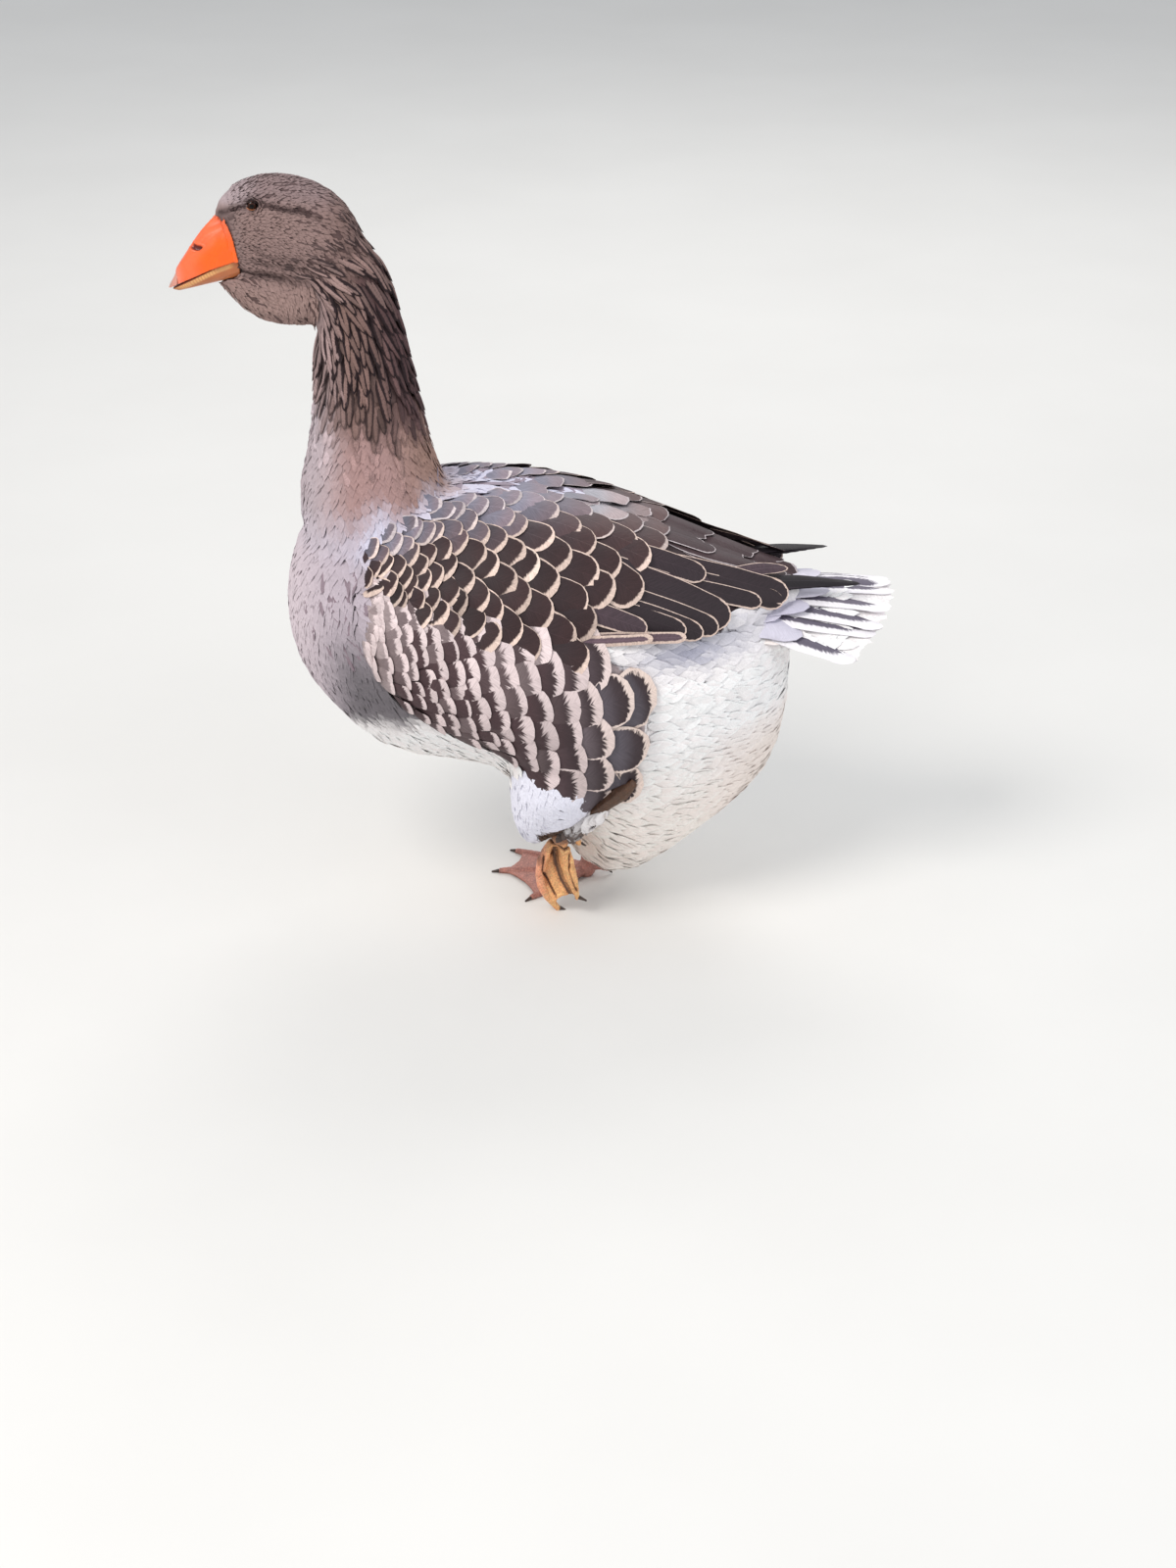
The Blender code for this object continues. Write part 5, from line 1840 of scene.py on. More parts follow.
@dataclass
class Flank:
    """One flank: leaning bars of ragged feathers that grow and curl round the rear edge."""

    form: Form
    side: Side
    finishes: Finishes
    cut: Cut = Cut(8, 6, roundness=0.7, waist=0.75, belly=0.4, taper=0.04, camber=0.08,
                   thickness=0.0006)
    rows: Rows = Rows(x=(-0.18, -0.12, -0.06, 0.0, 0.04, 0.1),
                      step=(0.0095, 0.012, 0.016, 0.0205, 0.024, 0.024),
                      across=(0.008, 0.011, 0.015, 0.026, 0.04, 0.044),
                      lean=-0.3, arc=(0, 0.002, 0.004, 0.01, 0.022, 0.028))
    edge: Table = (  # the wing's lower edge
        (-0.166, 0.106, 0.36), (-0.124, 0.131, 0.339), (-0.064, 0.146, 0.322),
        (-0.01, 0.149, 0.312), (0.03, 0.149, 0.305))
    seed: int = 71

    def feathers(self, pad: Pad, chance: Chance) -> Plume:
        """The barred feathers.

        Args:
            pad: The flank's outline.
            chance: Random source.

        Returns:
            The feathers.
        """
        x, share, gap, wide = self.rows.lay(pad, chance)
        x = x - 0.01
        fit = (x > -0.19) & (x < 0.062 - 0.026 * ease(share, 0.6, 0.95)) & (share < 0.97)
        fit = fit & ((x < 0.045) | (share > 0.12))
        x, share, gap, wide = (a[fit] for a in (x, share, gap, wide))
        x = np.maximum(x, -0.166 + 0.002 * chance.random(len(x)))
        spots, normals = pad.on_body(x, share)
        count = len(x)
        rear = ease(x, -0.02, 0.045)
        rise = np.radians(np.interp(x, (-0.16, -0.05, 0.02, 0.07), (20, 14, 8, 0)))
        rise = rise + rear * np.radians(34) * (share - 0.5) * 2 + chance.normal(0, 0.05, count)
        dark = np.clip(chance.normal(0.5, 0.1, count) + 0.5 * ease(x, -0.166, -0.125), 0, 1)
        bar = blend(Dye.FLANK_PALE, Dye.FLANK_BAR, dark)
        coat = blend(bar, Dye.FLANK_SLATE, rear)
        coat = coat * chance.normal(1, 0.12, (count, 1))
        tip_coat = blend(bar, Dye.FLANK_DARK, ease(x, -0.08, 0.0))
        rim = blend(Dye.FLANK_PALE, Dye.FLANK_RIM, rear)
        rim = rim * chance.normal(1, 0.06, (count, 1))
        pale = ease(share, 0.86, 0.97)[:, None] * 0.6
        coat, tip_coat = (c * (1 - pale) + rim * pale for c in (coat, tip_coat))
        size = gap * (0.5 - 0.2 * rear) * chance.normal(1, 0.2, count)
        spread = np.ptp(x)
        return Plume(
            root=spots, ahead=pad.ways(normals, -rise), length=gap * 2.5,
            half=wide * (0.92 - 0.22 * rear),
            coat=np.clip(coat, 0.003, 0.85), tip_coat=np.clip(tip_coat, 0.003, 0.85),
            rim=np.clip(rim, 0.01, 0.9),
            place=np.stack(((x - x.min()) / spread * 0.9 + 0.05, 0.06 + 0.88 * share), 1),
            patch=np.minimum(gap / spread, wide / 0.16) * 0.7, sink=0.0024,
            lift=0.0006 + chance.normal(0, 0.0003, count) + 0.0012 * rear,
            curl=0.0004 + 0.0008 * rear, roll=chance.normal(0, 0.05, count),
            bend=chance.normal(0, 0.03, count), tip_rim=size, side_rim=size * 0.45 * rear,
            blunt=0.55 + 0.55 * rear,
        )

    def border(self, chance: Chance) -> Plume:
        """The pale feathers along the wing's lower edge.

        Args:
            chance: Random source.

        Returns:
            The feathers.
        """
        line = spline(self.edge, 200)
        line[:, 1] *= self.side.value
        reach = np.concatenate(([0], np.cumsum(np.linalg.norm(np.diff(line, axis=0), axis=1))))
        at = np.arange(0, 0.62 * reach[-1], 0.0055)
        count = len(at)
        root = np.stack([np.interp(at, reach, line[:, k]) for k in range(3)], 1)
        ahead = np.stack([np.interp(at + 0.02, reach, line[:, k]) for k in range(3)], 1) - root
        root[:, 2] -= 0.0045 * (np.arange(count) % 3) * at / reach[-1] + 0.0036
        spots, _ = self.form.outer.nearest(root)
        share = at / reach[-1]
        rim = Dye.FLANK_PALE * chance.normal(1, 0.08, (count, 1))
        coat = blend(rim, Dye.FLANK_BAR, 0.1 + 0.75 * chance.random(count) * share)
        return Plume(
            root=spots, ahead=unit(ahead + np.array((0, 0, -0.004))), coat=coat,
            length=0.022 + 0.012 * share, half=0.003 + 0.0026 * share, rim=rim,
            place=self.form.spine.unwrap(spots), sink=0.0012,
            lift=0.0004 + chance.normal(0, 0.0002, count),
            roll=chance.normal(0, 0.05, count), bend=chance.normal(0, 0.03, count),
            tip_rim=0.006, side_rim=0.0012, blunt=2.2,
        )

    def make(self) -> None:
        """Lays the flank's feathers."""
        chance = np.random.default_rng(self.seed)
        word, outer, finish = self.side.word, self.form.outer, self.finishes.flank
        pad = Pad(self.form, f"flank_{word}", self.side)
        for name, plume in (("feathers", self.feathers(pad, chance)),
                            ("border", self.border(chance))):
            plume.build(f"flank_{name}_{word}", self.cut, outer, finish, "plumage_pale")


@dataclass
class Tail:
    """The fan of tail feathers with its coverts above and below."""

    finishes: Finishes
    pivot: tuple[float, float] = (0.16, 0.304)
    spread: float = math.radians(33)
    length: float = 0.1702
    side_length: float = 0.15
    droop: float = 0.033
    feathers: int = 11
    seed: int = 91
    cut: Cut = Cut(12, 6, roundness=1.5, waist=0.55, belly=0.5, taper=0.3, camber=0.2,
                   thickness=0.0008)

    def plume(self, places: Array, start: Array, end: Array, drop: Array, half: Array,
              coat: Array, rim: Array, rims: tuple[float, float]) -> Plume:
        """A layer of feathers over the fan.

        Args:
            places: Where each lies across the fan, from -1 to 1.
            start: Share of the fan's length where each starts.
            end: And where each ends.
            drop: How far under the top of the fan each lies.
            half: Half widths.
            coat: Colours of the middles.
            rim: Colours of the fringes.
            rims: Widths of the fringes at the tip and along the sides.

        Returns:
            The batch.
        """
        chance = np.random.default_rng(self.seed + len(places))
        count = len(places)
        share = np.linspace(0, 1, self.cut.rows + 1)
        reach = start[:, None] + (end - start)[:, None] * share
        place = places[:, None]
        long = self.length + (self.side_length - self.length) * place ** 2
        turn = self.spread * place + chance.normal(0, 0.02, (count, 1)) * reach
        bow = 0.01 * np.sin(math.pi * np.clip(reach, 0, 1)) * (1 - place ** 2)
        points = np.stack((
            self.pivot[0] + long * reach * np.cos(turn),
            (0.012 + long * reach) * np.sin(turn) + 0.03 * place * (1 - reach),
            self.pivot[1] + 0.006 * reach - self.droop * place ** 2 * reach + bow
            - np.asarray(drop)[:, None]), -1)
        tilt = np.broadcast_to(-0.55 * place, reach.shape)
        side = np.stack((np.zeros_like(reach), np.cos(tilt), np.sin(tilt)), -1)
        normals = unit(np.cross(unit(np.gradient(points, axis=1)), side))
        length = np.linalg.norm(np.diff(points, axis=1), axis=2).sum(1)
        rank = np.arange(count) / count
        outward = np.sign(places + 1e-6)
        return Plume(
            root=points[:, 0], ahead=points[:, 1] - points[:, 0], length=length, half=half,
            coat=coat, rim=rim, place=np.stack((0.06 + 0.9 * rank, np.full(count, 0.5)), 1),
            patch=0.8 / count, sink=0.0, lift=0.0, curl=chance.normal(0, 0.002, count),
            roll=0.1 * outward, bend=chance.normal(0, 0.02, count),
            tip_rim=rims[0], side_rim=rims[1], skew=0.8 * outward, centres=points,
            normals=normals,
        )

    def make(self) -> None:
        """Lays the tail."""
        chance = np.random.default_rng(self.seed)
        count = self.feathers
        places = np.linspace(-0.97, 0.97, count)
        places = places[np.argsort(-np.abs(places), kind="stable")]
        white = Dye.TAIL_WHITE
        drop = 0.0012 + 0.003 * np.abs(places) + chance.normal(0, 0.0006, count)
        end = np.minimum(0.965 + chance.normal(0, 0.03, count), 1.0)
        plume = self.plume(
            places, np.full(count, 0.15), end, drop, 0.0118 + 0.0012 * chance.random(count),
            *(np.tile(dye, (count, 1)) for dye in (Dye.TAIL_WEB, white)), (0.02, 0.0056))
        plume.build("tail_feathers", self.cut, None, self.finishes.tail, "plumage_white")
        for name, number, half, reach, sign in (("tail_coverts_upper", 20, 0.019, 0.6, 1),
                                                ("tail_coverts_lower", 24, 0.018, 0.6, -1)):
            places = np.linspace(-1, 1, number) + chance.normal(0, 0.03, number)
            end = reach - 0.22 * (np.arange(number) % 3) / 2 + chance.normal(0, 0.03, number)
            tint = Dye.COVERT_LAVENDER if sign > 0 else Dye.BELLY
            tone = blend(white, tint, 0.55 + 0.4 * chance.random(number))
            lowered = (np.full(number, -0.0014) if sign > 0
                       else 0.0065 + 0.01 * (1 - places ** 2) * (1 - end))
            layer = self.plume(places, np.full(number, -0.04), end, lowered,
                               np.full(number, half), tone, tone * 1.02, (0.004, 0.002))
            layer.build(name, self.cut, None, self.finishes.soft, "plumage_white")


# --- bare parts
def bare_form(voxel: float, rounds: int, *nodes: str) -> tuple[Array, Array, Surface]:
    """A bare part made fine from its frame nodes: fused and evened out.

    Args:
        voxel: Size of the steps of its surface.
        rounds: How often it is evened out.
        nodes: The frame nodes.

    Returns:
        Points, faces and the surface.
    """
    points, faces, _ = merged(nodes, 0.0002 if len(nodes) > 1 else 0.0)
    made, quads = fused(points, faces, voxel)
    made = smoothed(made, quads, rounds)
    return made, quads, Surface(made, two_triangles(quads))


def bare_piece(name: str, points: Array, quads: Array, finish: Material, colour: Array,
               slot: str, *nodes: str) -> Piece:
    """A painted bare piece, with a colour for each point, fixed to the goose."""
    made = mesh_object(name, points.reshape(-1, 3), quads, finish, {"Coat": colour.reshape(-1, 3)})
    return settle(made, slot, *nodes)


@dataclass
class Bill:
    """The bill: upper and lower halves and the pale nail."""

    finishes: Finishes
    nostril: tuple[float, float] = (-0.304, 0.636)
    nostril_way: tuple[float, float] = (-0.8, -0.6)
    nostril_size: tuple[float, float] = (0.0034, 0.0012)
    nostril_depth: float = 0.003
    swell: float = 0.005  # rise of the ridge's middle
    forward: float = 0.0022  # how far the tip stands out
    corner: float = 0.011  # how far its upper corners reach back
    mouth: Table = (
        (-0.2725, 0.6265), (-0.288, 0.6205), (-0.313, 0.607), (-0.33, 0.5985))

    def paint(self, points: Array) -> Array:
        """Colours of the horn: orange at the base, pinker on the ridge and paler at the tip.

        Args:
            points: Points of the bill.

        Returns:
            Linear colours.
        """
        x, _, z = points.T
        top = np.interp(x, (-0.3265, -0.289), (0.6075, 0.6625))
        ridge = ease(z, top - 0.022, top - 0.001)
        high = np.maximum(ridge * 0.8, 0.75 * ease(x, -0.296, -0.312))
        return painted(Dye.BILL_SIDE, (Dye.BILL_RIDGE, high),
                       (Dye.BILL_TIP, ease(x, -0.314, -0.326)))

    def upper(self, form: Form) -> None:
        """The upper bill with its nostrils, its base drawn back over the head's sides.

        Args:
            form: The body's form, which the base meets.
        """
        points, quads, surface = bare_form(0.0007, 10, "bill_upper")
        x, y, z = points.T
        away = np.abs(y)
        way = unit(np.array(self.nostril_way))
        off = points[:, [0, 2]] - np.array(self.nostril)
        along = off @ way / self.nostril_size[0]
        across = off @ np.array((-way[1], way[0])) / self.nostril_size[1]
        oval = along ** 2 + across ** 2
        hole = np.exp(-oval ** 2) * (away > 0.003)
        share = np.clip((-0.289 - x) / 0.0375, -0.3, 1.1)
        line = 0.6625 - 0.055 * share
        ridge = ease(z, line - 0.016, line - 0.001) * ease(away, 0.011, 0.004)
        swell = self.swell * np.sin(math.pi * np.clip(0.24 + 0.7 * share, 0, 1)) * ridge
        sides = ease(np.abs(surface.normals[:, 1]), 0.5, 0.9)
        base = 0.0012 * ease(share, 0.12, -0.05) * sides
        rim = 0.0003 * np.exp(-((oval - 2.2) / 0.9) ** 2)
        made = points + surface.normals * (swell + base + rim - self.nostril_depth * hole)[:, None]
        root = ease(share, 0.55, 0.0) * ease(away, -0.002, 0.005)
        made[:, 0] += root * np.clip((z - 0.622) / 0.042, 0, 1) * self.corner
        made[:, 0] -= self.forward * ease(share, 0.4, 1.0)
        made[:, 2] -= 0.0044 * root * ease(z, 0.645, 0.664)
        near, normals = form.outer.nearest(made)
        under = np.clip(0.0013 - dot(made - near, normals), 0, 0.01)
        made += normals * under * (ease(away, 0.0, 0.003) * ease(share, 0.6, 0.4))[:, None]
        gap, _ = line_distance(points, self.mouth)
        # the nostrils and the mouth's gap are darkened with painted shade
        colour = painted(self.paint(points), (Dye.NOSTRIL, np.clip(hole * 1.6, 0, 1)),
                         (Dye.NOSTRIL * 1.5, 0.55 * ease(gap, 0.001, 0.0)))
        bare_piece("bill_upper_horn", made, quads, self.finishes.bill, colour, "bill_orange",
                   "bill_upper")

    def nail(self) -> None:
        """The pale nail at the tip."""
        points, quads, _ = bare_form(0.0004, 4, "bill_nail")
        points[:, 0] -= self.forward
        colour = blend(self.paint(points), Dye.BILL_NAIL, ease(points[:, 0], -0.319, -0.325))
        bare_piece("bill_nail_horn", points, quads, self.finishes.bill, colour, "bill_nail",
                   "bill_nail")

    def lower(self) -> None:
        """The lower bill with the pale comb of lamellae along its edge."""
        points, quads, surface = bare_form(0.0006, 8, "bill_lower")
        gap, along = line_distance(points, self.mouth)
        side = ease(np.abs(points[:, 1]), 0.004, 0.008) * ease(points[:, 0], -0.27, -0.276)
        band = ease(gap, 0.0062, 0.0042) * ease(gap, 0.0004, 0.0012) * side
        comb = 0.5 + 0.5 * np.sin(along * 2 * math.pi * 30)
        made = points + surface.normals * (0.00045 * comb * band)[:, None]
        # the mouth's gap along the edge is darkened with painted shade
        colour = painted(Dye.BILL_LOWER, (Dye.LAMELLAE, band * (0.45 + 0.55 * comb)),
                         (Dye.NOSTRIL, 0.85 * ease(gap, 0.0013, 0.0003)))
        bare_piece("bill_lower_horn", made, quads, self.finishes.bill, colour, "bill_orange",
                   "bill_lower")

    def make(self, form: Form) -> None:
        """Builds the three parts.

        Args:
            form: The body's form.
        """
        self.upper(form)
        self.nail()
        self.lower()


@dataclass
class Eye:
    """One eye: a dark glossy ball with an iris, and the lids round it."""

    side: Side
    finishes: Finishes
    opening: tuple[float, float] = (0.0054, 0.0033)  # half length and half height
    tilt: float = math.radians(-4)
    lid_lift: float = 0.0005
    lid_rim: tuple[float, float] = (0.0092, 0.006)  # half length and half height of the lids
    rise: float = 0.0008  # how far the opening's middle stands over the ball's
    bulge: float = 0.0036  # how far the ball stands out of the head
    rings: int = 30
    around: int = 48

    def ball(self, centre: Array, radius: float) -> None:
        """The eyeball, with a slight bulge over the iris.

        Args:
            centre: Its centre.
            radius: Its radius.
        """
        polar = np.linspace(0.02, math.pi - 0.02, self.rings)[:, None]
        turn = np.arange(self.around) * 2 * math.pi / self.around
        out = np.stack(np.broadcast_arrays(
            np.sin(polar) * np.cos(turn), np.cos(polar) * self.side.value,
            np.sin(polar) * np.sin(turn)), -1)
        bulge = 1 + 0.035 * np.exp(-(polar[:, None] / 0.75) ** 4)
        iris = painted(Dye.PUPIL, (Dye.IRIS, ease(polar, 0.3, 0.36)),
                       (Dye.PUPIL * 2, ease(polar, 0.44, 0.6)))
        bare_piece(f"eyeball_{self.side.word}", centre + radius * 0.985 * bulge * out,
                   grid_faces(self.rings, self.around, self.side is Side.LEFT),
                   self.finishes.eye, np.repeat(iris, self.around, 1), "eye_dark",
                   f"eye_{self.side.word}")

    def lids(self, centre: Array, radius: float, form: Form) -> None:
        """The lids: a folded ring from inside the opening out under the feathers.

        Args:
            centre: The eye's centre.
            radius: Its radius.
            form: The body's form, which the outer rim meets.
        """
        rows, columns, sign = 12, 72, self.side.value
        turn = np.arange(columns) * 2 * math.pi / columns
        cos, sin, share = np.cos(turn), np.sin(turn), np.linspace(0, 1, rows)[:, None]
        x = self.opening[0] * cos
        z = self.opening[1] * np.abs(sin) ** 0.9 * np.sign(sin) * (1 - 0.25 * cos ** 2)
        x, z = (x * math.cos(self.tilt) - z * math.sin(self.tilt),
                x * math.sin(self.tilt) + z * math.cos(self.tilt) + self.rise)
        x = x + (self.lid_rim[0] * cos - x) * share
        z = z + (self.lid_rim[1] * sin + self.rise - z) * share
        ball = sign * centre[1] + np.sqrt(
            (radius * 1.06) ** 2 - np.minimum(x ** 2 + z ** 2, (radius * 0.98) ** 2))
        start = np.stack((x + centre[0], np.full_like(x, 0.2 * sign), z + centre[2]), -1)
        points, _ = form.outer.cast(
            start.reshape(-1, 3), np.tile((0.0, -float(sign), 0.0), (x.size, 1)))
        points = points.reshape(start.shape)
        reach = ball + (sign * points[..., 1] - ball) * ease(share, 0.25, 0.85)
        reach = np.maximum(reach, np.where(share < 0.35, ball, -1))
        reach = reach + self.lid_lift * np.exp(-((share - 0.12) / 0.12) ** 2)
        reach = reach + 0.0006 * np.sin(share * math.pi * 3) * ease(share, 0.2, 0.5)
        points[..., 1] = sign * (reach - 0.0014 * ease(share, 0.7, 1.0))
        corner = ease(-0.8 * cos - 0.6 * sin, -0.2, 0.5)
        ring = ease(share, 0.55, 0.3)
        # painted shadow of the brow on the upper lid; away from the lower front corner the inner ring
        # is dark too
        brow_shadow = ease(sin + 0.35 * cos, -0.2, 0.3) * ease(share, 0.5, 0.25)
        colour = painted(
            Dye.CHEEK * 0.85, (Dye.LID, ring * corner),
            (Dye.BROW * 0.5, np.maximum(0.9 * brow_shadow, 0.95 * ring * (1 - corner))),
            (Dye.BROW * 0.6, ease(share, 0.08, 0.02)))
        piece = bare_piece(f"eyelids_{self.side.word}", points,
                           grid_faces(rows, columns, self.side is Side.LEFT),
                           self.finishes.lid, colour, "plumage_grey")
        solid = piece.modifiers.new("thickness", "SOLIDIFY")
        solid.thickness, solid.offset = 0.0006, -1.0

    def make(self, form: Form) -> None:
        """Builds the eyeball and its lids.

        Args:
            form: The body's form.
        """
        low, high = (np.array(corner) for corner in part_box(f"eye_{self.side.word}"))
        radius = float(high[2] - low[2]) / 2
        centre = (low + high) / 2
        outside = np.array((centre[0], 0.2 * self.side.value, centre[2]))
        spot, _ = form.outer.cast(outside[None], np.array(((0.0, -self.side.value, 0.0),)))
        centre[1] = spot[0, 1] + (self.bulge - radius) * self.side.value
        self.ball(centre, radius)
        self.lids(centre, radius, form)


def grid_faces(rows: int, columns: int, flip: bool) -> Array:
    """Faces of a grid that closes round its columns.

    Args:
        rows: Rings of the grid.
        columns: Points in each ring.
        flip: True to turn the faces over.

    Returns:
        Four-sided faces.
    """
    index = np.arange(rows * columns).reshape(rows, columns)
    after = np.roll(index, -1, 1)
    made = np.stack((index[:-1], after[:-1], after[1:], index[1:]), -1).reshape(-1, 4)
    return made[:, ::-1] if flip else made


@dataclass
class Leg:
    """One bare leg with its webbed foot, covered in small scales, and its claws."""

    side: Side
    finishes: Finishes
    scale_size: float = 0.0024
    groove: float = 0.00035
    fold_depth: float = 0.0022
    skirt_feathers: int = 110
    seed: int = 95
    folds: tuple[tuple[Table, float], ...] = (  # x and z, width
        (((0.012, 0.082), (0.0096, 0.0751), (0.0114, 0.0575), (0.0169, 0.0399),
          (0.0262, 0.0231), (0.03, 0.012)), 0.0028),
        (((0.001, 0.093), (0.01, 0.084), (0.02, 0.08), (0.029, 0.084)), 0.0014),
        (((0.0, 0.072), (-0.001, 0.05), (0.006, 0.03), (0.013, 0.014)), 0.001),
        (((0.025, 0.078), (0.024, 0.056), (0.029, 0.038), (0.034, 0.028)), 0.0009),
    )

    def scales(self, points: Array) -> Pair:
        """Relief of small scales, as cells round spread-out centres.

        Args:
            points: Points of the leg.

        Returns:
            How near each point is to a border between scales, and a shade for its scale.
        """
        chance = np.random.default_rng(self.seed)
        seeds = spread_out(points, np.full(len(points), self.scale_size * 0.85), chance)
        centres = search_tree(points[seeds])
        found = [centres.find_n(p, 2) for p in points.tolist()]
        near, after = (np.array([f[k][2] for f in found]) for k in range(2))
        border = ease(after - near, self.scale_size * 0.28, 0.0)
        return border, chance.normal(size=len(seeds))[[f[0][1] for f in found]]

    def paint(self, points: Array) -> Array:
        """Colours of shank, toes and web, with painted shade in the near foot's upper fold and under
        the thigh feathers.

        Args:
            points: Points of the leg.

        Returns:
            Linear colours.
        """
        x, _, z = points.T
        if self.side is Side.RIGHT:
            return painted(Dye.SHANK, (Dye.FAR_FOOT, ease(z, -0.006, 0.004)),
                           (Dye.SHANK, ease(z, 0.012, 0.03)))
        return painted(
            Dye.TOE, (Dye.WEB, ease(x, 0.01, -0.006)), (Dye.SHANK * 2.2, ease(z, 0.08, 0.088)),
            # painted shade in the upper fold of the lifted foot
            (Dye.FOLD_DARK, 0.9 * ease(x, 0.004, -0.006) * ease(z, 0.052, 0.066)),
            # painted shade on the shank just under the thigh feathers
            (Dye.FOLD_DARK, 0.85 * ease(z, 0.097, 0.103)),
            (Dye.SHANK * 0.55, ease(z, 0.112, 0.13)))

    def make(self) -> None:
        """Builds the leg and dresses the claws."""
        word = self.side.word
        points, quads, surface = bare_form(0.0008, 4, f"shank_{word}", f"foot_{word}")
        border, tone = self.scales(points)
        up = 1 - 0.7 * ease(points[:, 2], 0.0012, 0.0)
        fold = self.fold(points)
        made = points - surface.normals * (self.groove * border * up + self.fold_depth * fold)[:, None]
        made[:, 2] = np.maximum(made[:, 2], 0.0)
        colour = self.paint(points) * (1 + 0.07 * tone[:, None])
        # painted shade in the scale grooves, in hollows that the leg shuts from the sky, and in the
        # folds between the toes
        dark = np.clip(0.45 * border + 0.6 * self.hollows(points, surface) + fold, 0, 0.94)
        colour = blend(colour, Dye.FOLD_DARK, dark)
        bare_piece(f"leg_{word}", made, quads, self.finishes.scales,
                   np.clip(colour, 0.003, 0.85), "leg_skin", f"shank_{word}", f"foot_{word}")
        if self.side is Side.LEFT:
            self.skirt(points, surface)
        for toe in ("middle", "outer", "inner", "hind"):
            self.claw(f"claw_{word}_{toe}")

    def skirt(self, points: Array, surface: Surface) -> None:
        """Ragged feathers that hang from the thigh over the shank.

        Args:
            points: Points of the leg.
            surface: The leg's surface.
        """
        chance = np.random.default_rng(self.seed + 1)
        ready = np.flatnonzero((points[:, 2] > 0.104) & (points[:, 2] < 0.134))
        root = points[chance.choice(ready, self.skirt_feathers, replace=False)]
        count = len(root)
        low = ease(root[:, 2] + chance.normal(0, 0.006, count), 0.125, 0.108)
        coat = blend(Dye.WHITE, Dye.RUFFLE, low * 0.9)
        coat = coat * (1 - 0.1 * chance.random((count, 1)))
        ahead = np.array((-0.52, 0.25, -0.8)) + chance.normal(0, 0.14, (count, 3))
        share = (root - root.min(0)) / np.ptp(root, 0)
        plume = Plume(
            root=root, ahead=ahead, length=0.017 + chance.normal(0, 0.004, count),
            half=0.0042 * np.ones(count), coat=coat, rim=coat * 0.9,
            place=0.05 + 0.9 * share[:, [0, 1]], sink=0.0,
            lift=0.003 + 0.0035 * chance.random(count),
            roll=chance.normal(0, 0.2, count), tip_rim=0.003, side_rim=0.001,
        )
        cut = Cut(5, 4, roundness=1.4, taper=0.4)
        plume.build("feathers_shank_left", cut, surface, self.finishes.soft, "plumage_white")

    def fold(self, points: Array) -> Array:
        """The deep folds between the toes of the lifted foot.

        Args:
            points: Points of the leg.

        Returns:
            Share of the folds at each point.
        """
        if self.side is Side.RIGHT:
            return np.zeros(len(points))
        share = np.zeros(len(points))
        for line, wide in self.folds:
            share = np.maximum(share, stroke(points, line, wide, 0.1, 0.85))
        return share

    def hollows(self, points: Array, surface: Surface) -> Array:
        """Where the leg itself shuts out the sky close by.

        Args:
            points: Points of the leg.
            surface: The leg's surface.

        Returns:
            Share shut out, from 0 to 1.
        """
        ways = unit(np.array(((1, 0, 0.6), (-1, 0, 0.6), (0, 1, 0.6), (0, -1, 0.6), (0, 0, 1),
                              (0.7, 0.7, 0), (-0.7, 0.7, 0), (0.7, -0.7, 0), (-0.7, -0.7, 0)),
                             float))
        shut = np.zeros(len(points))
        start = points + surface.normals * 0.0006
        for way in ways:
            aim = unit(surface.normals + 0.9 * way)
            shut += [surface.tree.ray_cast(p, a, 0.014)[0] is not None
                     for p, a in zip(start.tolist(), aim.tolist())]
        return np.clip((shut / len(ways) - 0.25) / 0.6, 0, 1)

    def claw(self, node: str) -> None:
        """One claw: rounded, ridged and darker at its tip.

        Args:
            node: The claw's frame node.
        """
        points, quads, surface = bare_form(0.00035, 5, node)
        reach = np.linalg.norm(points - (points.min(0) + points.max(0)) / 2, axis=1)
        colour = blend(Dye.CLAW * 1.7, Dye.CLAW, ease(reach / reach.max(), 0.2, 1.0))
        made = points + surface.normals * 0.00006 * np.sin(points[:, 1:2] * 9000)
        made[:, 2] = np.maximum(made[:, 2], 0.0)
        bare_piece(f"{node}_horn", made, quads, self.finishes.claw, colour, "claw_horn", node)


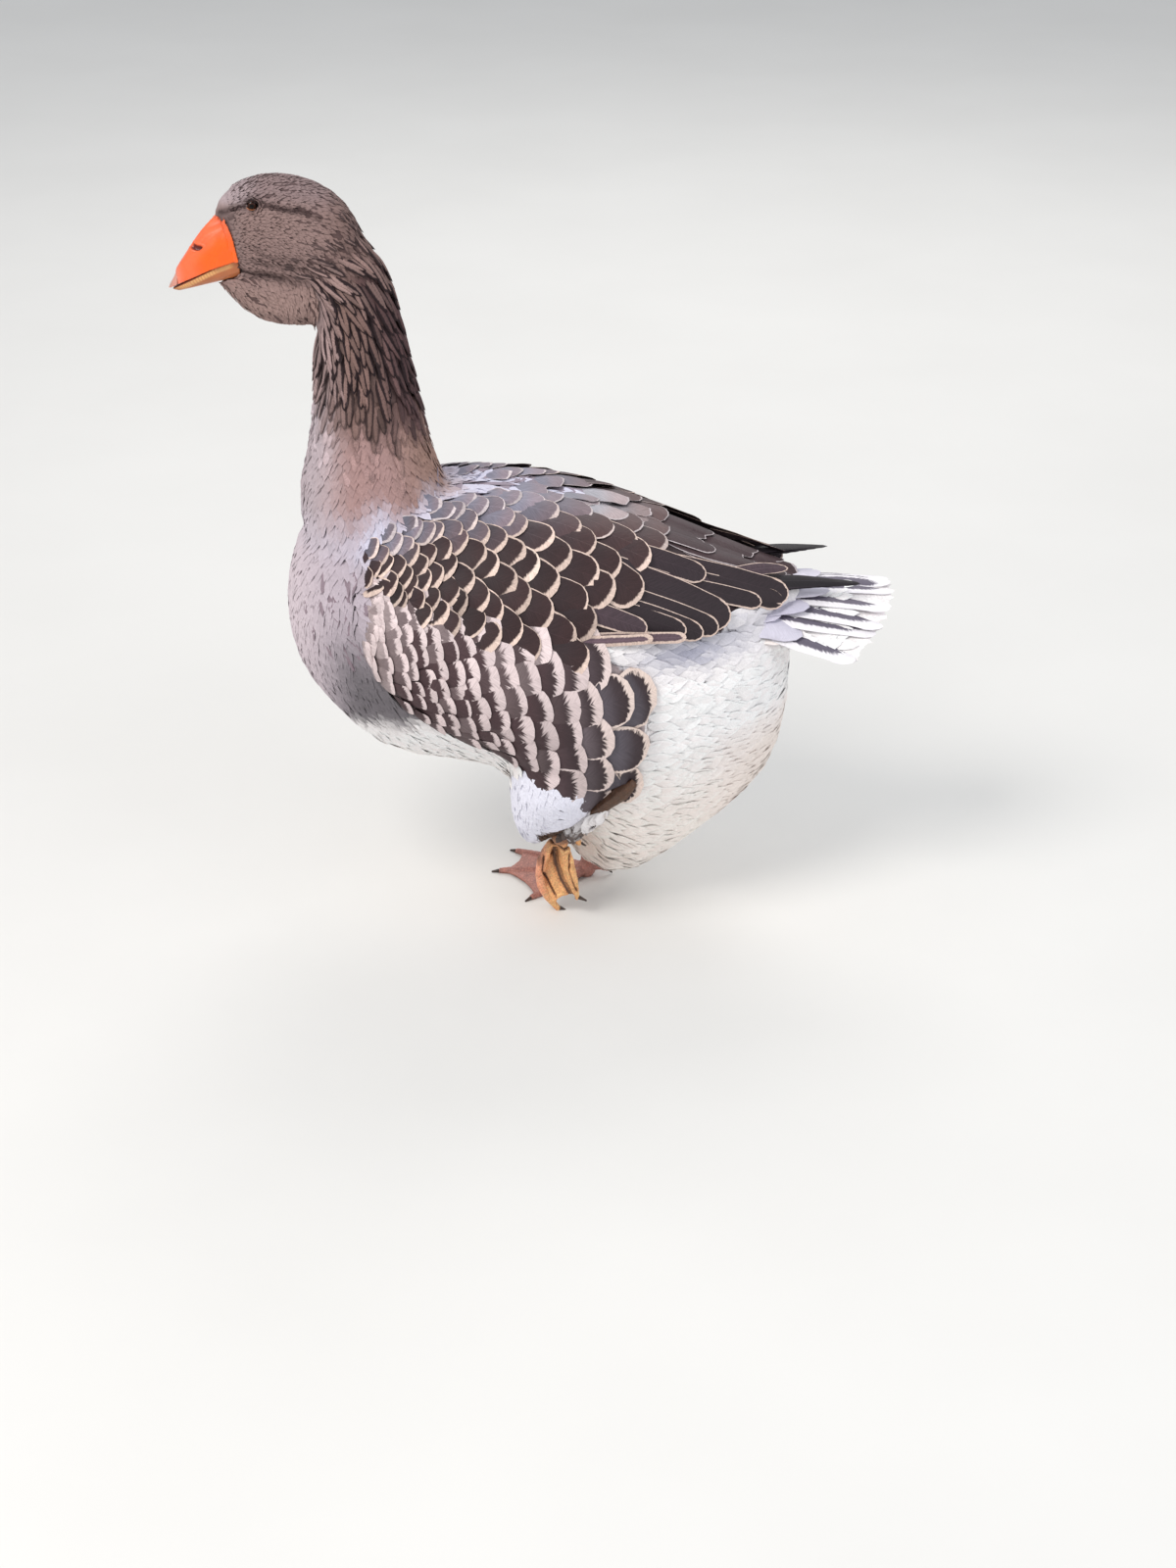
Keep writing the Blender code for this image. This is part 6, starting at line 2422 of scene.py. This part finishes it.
# --- the room
@dataclass
class Studio:
    """Plain pale floor, soft lights and the camera."""

    camera_place: tuple[float, float, float] = (0.042, -2.762, 1.407)
    camera_tilt: float = math.radians(64.82)
    lens: float = 73.125
    sensor: float = 36.0
    floor_size: float = 120.0
    sky: tuple[float, float, float] = (0.93, 0.96, 1.0)
    sky_strength: float = 0.66
    # name, place, target, size, watts, colour
    lamps: tuple[tuple[object, ...], ...] = (
        ("key", (-1.6, -1.9, 2.9), (0.0, 0.0, 0.35), 1.6, 74.0, (1.0, 0.965, 0.92)),
        ("fill", (2.2, -1.6, 1.8), (0.0, 0.0, 0.3), 2.2, 20.0, (0.92, 0.96, 1.0)),
        ("back", (0.4, 2.4, 2.4), (0.0, 0.0, 0.35), 1.8, 30.0, (1.0, 0.98, 0.95)),
    )

    def make(self) -> None:
        """Builds the room."""
        scene = bpy.context.scene
        world = bpy.data.worlds.new("sky")
        world.use_nodes = True
        sky = world.node_tree.nodes["Background"]
        sky.inputs["Color"].default_value = (*self.sky, 1)
        sky.inputs["Strength"].default_value = self.sky_strength
        scene.world = world
        scene.view_settings.view_transform = "Standard"
        half = self.floor_size / 2
        corners = half * np.array(((-1, -1, 0), (1, -1, 0), (1, 1, 0), (-1, 1, 0)))
        floor = mesh_object("floor", corners, np.array(((0, 1, 2, 3),)), self.floor_finish())
        for name, place, target, size, power, colour in self.lamps:
            lamp = bpy.data.lights.new(name, "AREA")
            lamp.shape = "DISK"
            lamp.size, lamp.energy, lamp.color = size, power, colour
            holder = linked(name, lamp)
            holder.location = place
            aim = Vector(target) - Vector(place)
            holder.rotation_euler = aim.to_track_quat("-Z", "Y").to_euler()
        camera = linked("camera", bpy.data.cameras.new("camera"))
        camera.location = self.camera_place
        camera.rotation_euler = (self.camera_tilt, 0, 0)
        camera.data.lens = self.lens
        camera.data.sensor_width = self.sensor
        scene.camera = camera

    @staticmethod
    def floor_finish() -> Material:
        """Pale matt floor with a faint mottling.

        Returns:
            The material.
        """
        made, w, shader = new_material("studio_floor")
        cloud = w.noise(w.seat(), 3.0, 4.0)
        tone = w.put("Mix", {0: cloud, 6: (0.72, 0.71, 0.69, 1), 7: (0.78, 0.77, 0.75, 1)},
                     data_type="RGBA")[2]
        w.fill(shader, {"Base Color": tone, "Roughness": 0.9})
        return made


def main() -> None:
    """Builds the goose piece by piece."""
    logging.basicConfig(level=logging.INFO, format="%(message)s")
    finishes = Finishes()
    form = Form()
    LOG.info("form: %d points", len(form.outer.points))
    markings = Markings(form.spine)
    form.make_skin(markings, finishes.down)
    SoftCoat(form, markings, finishes).make()
    FurrowedNeck(form, markings, finishes).make()
    for side in Side:
        Wing(form, side, finishes).make()
        Flank(form, side, finishes).make()
        Eye(side, finishes).make(form)
        Leg(side, finishes).make()
    Tail(finishes).make()
    Bill(finishes).make(form)
    Studio().make()


if __name__ == "__main__":
    main()
